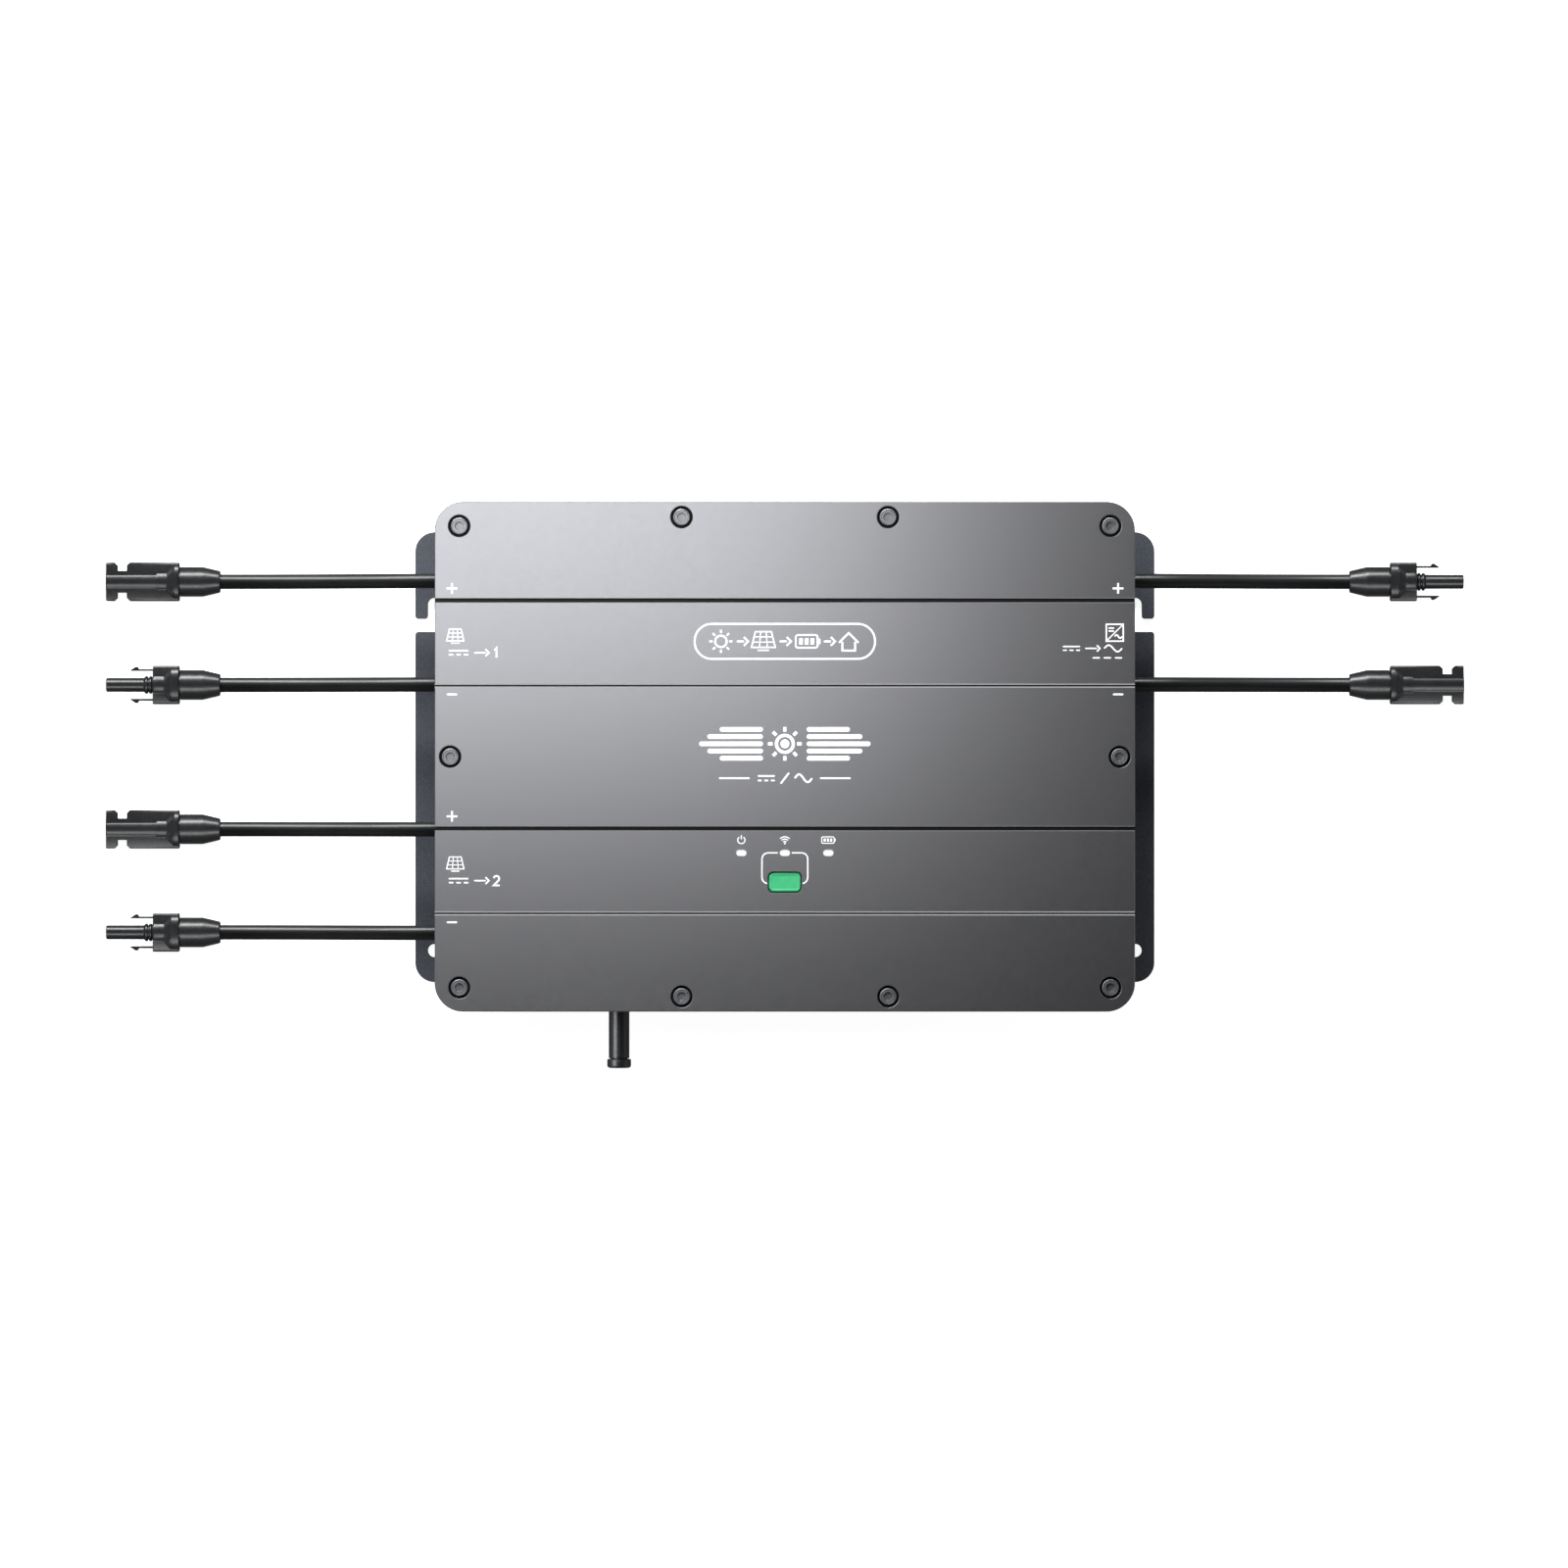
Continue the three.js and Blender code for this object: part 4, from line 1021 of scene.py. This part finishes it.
# ---- Wall bracket ----
def bracket_plate():
    """The plate, its two hanging slots entered from the sides, and its screw holes."""
    w, h, thick = BRACKET_HIGH
    x, r, seat, entry, lower = 172.1, 3.2, 75.0, 64.75, -95
    corner, small, rim = 9.5, 1.5, 0.3
    right = [
        (w, -h, corner),
        (w, entry - r, small),
        (x - r, entry - r, r - 0.01),
        (x - r, seat + r, r - 0.01),
        (x + r, seat + r, r - 0.01),
        (x + r, entry + r, small),
        (w, entry + r, small),
        (w, h, corner),
    ]
    left = [(-px, py, radius) for px, py, radius in reversed(right)]
    plate = bevelled(prism(rounded(right + left, 10), 0, thick), rim)
    hole = [(0, -1), (r + rim, -1), (r + rim, 0), (r, rim), (r, 2.2), (r + rim, 2.5), (r + rim, 4), (0, 4)]
    cone = [(0, -1), (5.4, -1), (2.4, 2.3), (2.4, 4), (0, 4)]
    tools = [moved(turned(hole), side * x, lower) for side in (-1, 1)]
    return cut(plate, merged(*tools, *at_bosses(lambda: turned(cone))))


def flat_screw():
    """A countersunk screw, its head facing the wall."""
    profile = [(0, 0.2), (3.9, 0.2), (4.0, 0.35), (2.0, 2.3), (2.0, 9.9), (1.5, 10.5), (0, 10.5)]
    return cut(turned(profile, "z", 48), prism(hexagon(2.5), -1, 1.5))


def add_bracket():
    mesh = mesh_of("wall_bracket", bracket_plate(), POWDER)
    piece("wall_bracket", mesh, "bracket", "mounting_bracket")
    screw = mesh_of("flat_screw", flat_screw(), ZINC_STEEL)
    for node in sorted(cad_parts):
        if node.startswith("bracket_screw"):
            low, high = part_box(node)
            place = Matrix.Translation((*((low + high) / 2).xy, 0))
            name = node.replace("bracket_screw", "flat_screw")
            piece(name, screw, "zinc_steel", node, place=place)


add_bracket()


# ---- Antenna ----
def antenna_rod():
    """The rod: turned down at its lower end for the cap, and bored at its upper end for the jack."""
    low, high = mm_box("antenna_rod")
    radius, spigot, bore, deep = (high.x - low.x) / 2, 4.1, 3.65, 6.2
    shoulder = mm_box("antenna_end_cap")[1].y + 0.3
    profile = [(0, low.y), (spigot, low.y), (spigot, shoulder), (radius - 0.3, shoulder)]
    profile += [(radius, shoulder + 0.3), (radius, high.y - 0.6), (radius - 0.5, high.y)]
    return turned([*profile, (bore, high.y), (bore, high.y - deep), (0, high.y - deep)], "y", 64)


def antenna_cap():
    low, high = mm_box("antenna_end_cap")
    radius, bore, floor, edge = (high.x - low.x) / 2, 4.5, low.y + 1.1, 1.5
    profile = [(0, low.y), (radius - edge, low.y)]
    for a in (0.5, 1.0, 1.57):
        profile.append((radius - edge + edge * math.sin(a), low.y + 1.2 * (1 - math.cos(a))))
    profile += [(radius, high.y - 0.5), (radius - 0.15, high.y - 0.15), (radius - 0.5, high.y)]
    return turned([*profile, (bore, high.y), (bore, floor), (0, floor)], "y", 64)


def antenna_jack():
    """The threaded jack and its hexagon nut on the bottom wall."""
    wall, core, crest, shank, nut_height, pitch = -TUB_END, 3.0, 3.3, 4, 3.6, 0.8
    thread = [(0, wall - 9.5), (core, wall - 9.5)]
    for turn in range(6):
        thread += [(crest, wall - 9.0 + pitch * turn), (core, wall - 8.6 + pitch * turn)]
    thread += [(crest, wall - nut_height), (shank, wall - nut_height), (shank, wall + 8), (0, wall + 8)]
    nut = bevelled(prism(hexagon(14), 0, nut_height), 0.35)
    bmesh.ops.rotate(nut, matrix=Matrix.Rotation(math.pi / 2, 3, "X"), verts=nut.verts)
    return join(moved(nut, 0, wall - 0.3), turned(thread, "y", 48))


def add_antenna():
    low, high = mm_box("antenna_jack")
    place = Matrix.Translation(((low.x + high.x) / 2 * MM, 0, (low.z + high.z) / 2 * MM))
    for name, shape, material, slot, node in (
        ("antenna_whip", antenna_rod(), ANTENNA_PLASTIC, "antenna", "antenna_rod"),
        ("antenna_tip", antenna_cap(), ANTENNA_PLASTIC, "antenna", "antenna_end_cap"),
        ("antenna_socket", antenna_jack(), ZINC_STEEL, "zinc_steel", "antenna_jack"),
    ):
        piece(name, mesh_of(name, shape, material), slot, node, place=place)


add_antenna()


# ---- Button and lamps ----
def button_cap():
    """A soft-edged cap with a shallow dished top, its stop flange and its stem."""
    top = BUTTON_HIGH.z
    width, height, corner = BUTTON["width"], BUTTON["height"], BUTTON["corner"]
    edge = ((0, 0.75), (0.12, 0.4), (0.4, 0.12), (0.8, 0))
    dish = ((1.25, 0.02), (1.5, 0.12), (1.8, 0.16))
    levels = [(0, FACE - 6), *((inset, top - drop) for inset, drop in edge + dish)]
    cap = rounded_block(width, height, corner, levels, (0, BUTTON_Y), 8)
    stop_low, stop_high = FACE - 6.7, FACE - 5.3
    stop_levels = [(0, stop_low), (0, stop_high)]
    stop = rounded_block(width + 3, height + 3, corner - 0.1, stop_levels, (0, BUTTON_Y))
    stem = moved(drill(BUTTON_LOW.z, stop_low + 0.3, 2, steps=48), 0, BUTTON_Y)
    return join(cap, stop, stem)


def lamp_guide():
    """Three pill-shaped light pipes on one web."""
    low, high = mm_box("light_guide")
    reach, y = LAMPS["x"][-1] + 4, LAMPS["y"]
    web = box((-reach, y - 3, 56.5), (reach, y + 3, 58.5))
    levels = edge_levels(low.z, high.z, 0, 0.2)
    size = (LAMPS["width"], LAMPS["height"], 1.44)
    return join(web, merged(*(rounded_block(*size, levels, (x, y), 8) for x in LAMPS["x"])))


def add_controls():
    button = mesh_of("button_cap", button_cap(), SILICONE)
    piece("button_cap", button, "button", "push_button", body="push_button")
    piece("lamp_guide", mesh_of("lamp_guide", lamp_guide(), LENS), "lens", "light_guide")


add_controls()


# ---- Printed marks: white ink, generic symbols only ----
class Ink:
    """Flat shapes with a little thickness on the front face."""

    def __init__(self):
        self.bm = bmesh.new()
        self.levels = (FACE - 0.01, FACE + 0.03)

    def area(self, points):
        low, high = ([self.bm.verts.new((x, y, z)) for x, y in points] for z in self.levels)
        for i in range(len(points)):
            self.bm.faces.new((low[i - 1], low[i], high[i], high[i - 1]))
        self.bm.faces.new(low)
        self.bm.faces.new(high)

    def disc(self, x, y, radius):
        self.area(circle(radius, 24, (x, y)))

    def bar(self, x, y, width, height):
        """A bar with round ends."""
        self.area(round_rect(width, height, min(width, height) / 2 * 0.98, (x, y), 4))

    def stroke(self, points, width, closed=False):
        """A line of even width through points, with mitred corners."""
        sides = []
        count = len(points)
        for i, point in enumerate(points):
            here = Vector(point)
            before = here - Vector(points[i - 1]) if i or closed else None
            after = Vector(points[(i + 1) % count]) - here if i < count - 1 or closed else None
            before = (before or after).normalized()
            after = (after or before).normalized()
            across = Vector((-before.y - after.y, before.x + after.x)).normalized()
            reach = width / 2 / max(across.dot(Vector((-before.y, before.x))), 0.4)
            sides.append([here + across * reach, here - across * reach])
        heights = (*self.levels, *self.levels[::-1])
        rings = [[(*p, z) for z, p in zip(heights, (a, a, b, b))] for a, b in sides]
        rows = [[self.bm.verts.new(p) for p in ring] for ring in rings]
        for low, high in zip(rows, rows[1:] + (rows[:1] if closed else [])):
            for i in range(4):
                self.bm.faces.new((low[i - 1], low[i], high[i], high[i - 1]))
        if not closed:
            self.bm.faces.new(rows[0])
            self.bm.faces.new(rows[-1])

    def add(self, name):
        bmesh.ops.recalc_face_normals(self.bm, faces=self.bm.faces)
        piece(name, mesh_of(name, self.bm, INK_PAINTED_GLOW), "print")


def plus(ink, x, y):
    reach, half = 2.6, 0.48
    quarter = [(half, half), (half, reach), (-half, reach)]
    points = []
    for _ in range(4):
        points += [(x + px, y + py) for px, py in quarter]
        quarter = [(-py, px) for px, py in quarter]
    ink.area(points)


def minus(ink, x, y):
    ink.bar(x, y, 5.1, 0.9)


def wave(ink, x, y, width, height, line):
    """One period of a sine: alternating current."""
    points = []
    for i in range(17):
        share = i / 16
        points.append((x + width * (share - 0.5), y + height / 2 * math.sin(2 * math.pi * share)))
    ink.stroke(points, line)


def direct_current(ink, x, y, width, line):
    """A line over three dashes: direct current."""
    ink.bar(x, y + line * 1.3, width, line)
    for side in (-1, 0, 1):
        ink.bar(x + side * width * 0.38, y - line * 1.3, width * 0.24, line)


def arrow(ink, x, y, width, line):
    ink.bar(x - line, y, width - 2 * line, line)
    tip = x + width / 2
    back = line * 2.2
    ink.stroke([(tip - back, y + back), (tip, y), (tip - back, y - back)], line)


def panel(ink, x, y, width, height, line):
    """A tilted solar panel: a trapezium with its cells, on a foot."""
    top, bottom = width * 0.34, width * 0.5
    rows = 3
    half = height / 2

    def edge(share, side):
        return (x + side * (bottom + (top - bottom) * share), y - half + height * share)

    ink.stroke([edge(0, -1), edge(0, 1), edge(1, 1), edge(1, -1)], line, closed=True)
    for row in range(1, rows):
        ink.stroke([edge(row / rows, -1), edge(row / rows, 1)], line * 0.7)
    for share in (-1 / 3, 1 / 3):
        ink.stroke([(x + share * bottom, y - half), (x + share * top, y + half)], line * 0.7)
    ink.bar(x, y - half - line * 2, width * 0.5, line)


def sun(ink, x, y, radius, line):
    ink.stroke(circle(radius * 0.5, 32, (x, y)), line, closed=True)
    for i in range(8):
        c, s = math.cos(math.pi * i / 4), math.sin(math.pi * i / 4)
        inner, outer = radius * 0.72, radius
        ink.stroke([(x + inner * c, y + inner * s), (x + outer * c, y + outer * s)], line)


def battery(ink, x, y, width, height, line):
    """A cell with its terminal and its charge bars."""
    ink.stroke(round_rect(width, height, height * 0.18, (x, y), 4), line, closed=True)
    ink.bar(x + width / 2 + line * 1.1, y, line * 1.1, height * 0.45)
    for i in (-1, 0, 1):
        ink.area(round_rect(width * 0.17, height * 0.5, 0.1, (x + i * width * 0.26, y), 2))


def figure(ink, x, y, size, line, path, closed=False):
    """A line through points given as shares of the figure's size."""
    ink.stroke([(x + size * px, y + size * py) for px, py in path], line, closed)


def house(ink, x, y, size, line):
    """Three walls under a wide roof."""
    figure(ink, x, y, size, line, [(-0.36, 0), (-0.36, -0.5), (0.36, -0.5), (0.36, 0)])
    figure(ink, x, y, size, line, [(-0.55, -0.05), (0, 0.5), (0.55, -0.05)])


def converter(ink, x, y, size, line):
    """The standard sign for a converter: a divided box, direct in and alternating out."""
    square = [(-0.5, -0.5), (0.5, -0.5), (0.5, 0.5), (-0.5, 0.5)]
    figure(ink, x, y, size, line, square, closed=True)
    figure(ink, x, y, size, line * 0.8, square[::2])
    for level in (0.275, 0.1):
        ink.bar(x - size * 0.21, y + size * level, size * 0.35, line)
    wave(ink, x + size * 0.21, y - size * 0.225, size * 0.425, size * 0.2, line)


def numeral(ink, digit, x, y, height, line):
    half = height / 2
    if digit == 1:
        ink.stroke([(x - height * 0.22, y + half * 0.5), (x, y + half), (x, y - half)], line)
        return
    bowl = arc((x, y + half * 0.42), half * 0.58, 170, -35, 8)
    ink.stroke([*bowl, (x - half * 0.6, y - half), (x + half * 0.68, y - half)], line)


def input_marks():
    """Beside each pair of leads: their polarity, and what is plugged in there."""
    ink = Ink()
    left, right = -161.5, 161.7
    first, second, to_minus = 81.7, -28.9, 51.4
    for digit, top in ((1, first), (2, second)):
        middle = top - 31.2
        plus(ink, left, top)
        minus(ink, left, top - to_minus)
        panel(ink, left + 1.6, top - 22.6, 8.4, 5.8, 0.55)
        direct_current(ink, left + 3.2, middle, 9.6, 0.75)
        arrow(ink, left + 14.3, middle, 7.2, 0.75)
        numeral(ink, digit, left + 21.6, middle, 4.6, 0.85)
    plus(ink, right, first)
    minus(ink, right, first - to_minus)
    middle = 52.6
    converter(ink, right - 1.6, middle + 7.6, 8.2, 0.7)
    direct_current(ink, right - 22.6, middle, 8.4, 0.7)
    arrow(ink, right - 12.4, middle, 7.2, 0.7)
    wave(ink, right - 2.4, middle, 8.6, 3.2, 0.75)
    for i in range(3):
        ink.bar(right - 10.6 + 5.4 * i, middle - 4.6, 3.6, 0.75)
    ink.add("input_and_output_marks")


def badge_marks():
    """A pill-shaped frame round the path of the power: sun, panel, battery, house."""
    ink = Ink()
    y, line = 56.0, 0.95
    ink.stroke(round_rect(87.5, 17, 8.3, (0, y), 12), line, closed=True)
    sun(ink, -31, y, 5.6, line)
    panel(ink, -10.4, y + 0.9, 11.5, 7.6, line * 0.75)
    battery(ink, 10.6, y, 10.6, 6.2, line * 0.9)
    house(ink, 31, y - 0.2, 8.6, line)
    for x in (-20.6, 0.2, 21.6):
        arrow(ink, x, y, 5.6, line)
    ink.add("power_path_marks")


def centre_marks():
    """A sun between two stacks of bars, over a fine line with a converter sign's symbols."""
    ink = Ink()
    y = 6.3
    sun(ink, 0, y, 8.2, 1.6)
    ink.disc(0, y, 2.2)
    for side in (-1, 1):
        for i, length in enumerate((21, 27, 31, 27, 21)):
            ink.bar(side * (10.6 + length / 2), y + 3.5 * (2 - i), length, 2.3)
    low = -10.4
    direct_current(ink, -9, low, 8.4, 0.85)
    wave(ink, 9, low, 8.4, 3.8, 0.95)
    ink.stroke([(-2, low - 2.6), (2, low + 2.6)], 0.9)
    for side in (-1, 1):
        ink.bar(side * 24.5, low, 15, 0.85)
    ink.add("centre_marks")


def control_marks():
    """Over the lamps: power, radio and battery. A line joins the middle lamp to the button."""
    ink = Ink()
    y = -40.4
    left, right = LAMPS["x"][0], LAMPS["x"][-1]
    ink.stroke(arc((left, y), 1.75, 125, 415, 20), 0.5)
    ink.bar(left, y + 1.35, 0.5, 2.1)
    for radius in (1.1, 2.2, 3.3):
        ink.stroke(arc((0, y - 1.7), radius, 45, 135, 10), 0.5)
    ink.disc(0, y - 1.6, 0.45)
    battery(ink, right - 0.2, y, 6.0, 3.1, 0.45)
    reach, corner, line = 11.1, 3.0, 0.65
    gap = LAMPS["width"] / 2 + 1.0
    for side in (-1, 1):
        path = [(side * gap, LAMPS["y"])]
        path += [(side * x, y) for x, y in arc((reach - corner, LAMPS["y"] - corner), corner, 90, 0, 8)]
        low = BUTTON_Y - 0.6
        path += [(side * x, y) for x, y in arc((reach - corner, low + corner), corner, 0, -80, 8)]
        ink.stroke(path, line)
    ink.add("control_marks")


input_marks()
badge_marks()
centre_marks()
control_marks()


# ---- CAD nodes that keep their own shape ----
KEPT_NODES = {
    "cover_gasket": RUBBER,
    "battery_port": CONNECTOR_PLASTIC,
    "vent_plug": RUBBER,
    "button_board": BOARD,
    "main_board": BOARD,
    "inductor_pv1": COPPER,
    "inductor_pv2": COPPER,
    "heat_spreader": MILLED,
}


def dress_kept_nodes():
    for name, material in KEPT_NODES.items():
        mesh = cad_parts[name].data
        mesh.materials.clear()
        mesh.materials.append(material)


dress_kept_nodes()


# ---- Floor and light ----
def add_floor():
    """A plain white sheet that glows, which lifts the shadows on it. Glossy pieces don't mirror it."""
    finish = Finish("floor", (0.92, 0.92, 0.92), 0.8)
    finish.glow(0.9)
    finish.tint(finish.noise(3, 2), 0.995, 1.0)
    bm = bmesh.new()
    bmesh.ops.create_grid(bm, x_segments=1, y_segments=1, size=4000)
    floor = bpy.data.objects.new("floor", mesh_of("floor", bm, finish.material))
    floor.location.z = -0.0004
    floor.visible_glossy = False
    bpy.context.scene.collection.objects.link(floor)


def add_light(name, place, target, size, power):
    """A rectangular softbox at a place, turned to face a target."""
    data = bpy.data.lights.new(name, "AREA")
    data.shape = "RECTANGLE"
    data.size, data.size_y = size
    data.energy = power
    light = bpy.data.objects.new(name, data)
    light.location = place
    light.rotation_mode = "QUATERNION"
    light.rotation_quaternion = (Vector(target) - Vector(place)).to_track_quat("-Z", "Y")
    bpy.context.scene.collection.objects.link(light)
    return light


def light_only(light, objects):
    """The light falls on these objects alone, as a flagged strip in a studio does."""
    lit = bpy.data.collections.new(f"lit_by_{light.name}")
    for item in objects:
        lit.objects.link(item)
    light.light_linking.receiver_collection = lit


def add_lights():
    """A softbox over the top left for the flat pieces, and strips that shape the round ones."""
    softbox = add_light("softbox", (-0.325, 0.478, 1.0), (-0.325, 0.478, 0), (0.77, 0.92), 4.95)
    upper = add_light("upper_strip", (-0.35, 1.4, 0.7), (0, 0, 0.03), (1.8, 0.34), 48)
    lead_strip = add_light("lead_strip", (-0.35, 1.4, 0.75), (0, 0, 0.01), (1.8, 0.42), 58)
    lower = add_light("lower_strip", (0, -0.7, 1.05), (0, 0, 0.01), (1.5, 0.5), 13)
    left = add_light("left_strip", (-1.15, -0.1, 1.15), (-0.08, -0.13, 0.03), (0.8, 0.9), 20)
    items = [item for item in bpy.data.objects if item.type == "MESH"]
    upright = [item for item in items if item.name.startswith("antenna")]
    on_leads = [item for item in items if item.name.startswith(("pv", "out"))]
    light_only(softbox, [item for item in items if item not in on_leads])
    light_only(upper, [item for item in items if item not in (COVER_SHELL, *upright, *on_leads)])
    light_only(lead_strip, on_leads)
    light_only(lower, [item for item in on_leads if not item.name.endswith("_cable")])
    light_only(left, upright)


def add_studio():
    """A white world, dim overhead, below the horizon and beyond the case's top and bottom."""
    world = bpy.data.worlds.new("studio")
    world.use_nodes = True
    nodes, links = world.node_tree.nodes, world.node_tree.links
    axes = nodes.new("ShaderNodeSeparateXYZ")
    links.new(nodes.new("ShaderNodeTexCoord").outputs["Generated"], axes.inputs["Vector"])

    def faded(source, start, end, low, high):
        """The value goes smoothly from low to high as the source goes from start to end."""
        fade = nodes.new("ShaderNodeMapRange")
        fade.interpolation_type = "SMOOTHSTEP"
        for socket, value in zip(("From Min", "From Max", "To Min", "To Max"), (start, end, low, high)):
            fade.inputs[socket].default_value = value
        links.new(source, fade.inputs["Value"])
        return fade.outputs["Result"]

    def math_node(operation, *sources):
        node = nodes.new("ShaderNodeMath")
        node.operation = operation
        for source, socket in zip(sources, node.inputs):
            links.new(source, socket)
        return node.outputs["Value"]

    overhead = faded(axes.outputs["Z"], 0.25, 0.8, 0.6, 0.0)
    below = faded(axes.outputs["Z"], -0.12, 0.04, 0.25, 1.0)
    ends = faded(math_node("ABSOLUTE", axes.outputs["Y"]), 0.75, 0.97, 1.0, 0.2)
    strength = math_node("MULTIPLY", math_node("MULTIPLY", overhead, below), ends)
    links.new(strength, nodes["Background"].inputs["Strength"])
    nodes["Background"].inputs["Color"].default_value = (1, 1, 1, 1)
    bpy.context.scene.world = world
    bpy.context.scene.view_settings.view_transform = "Standard"


add_floor()
add_lights()
add_studio()

bpy.context.view_layer.update()
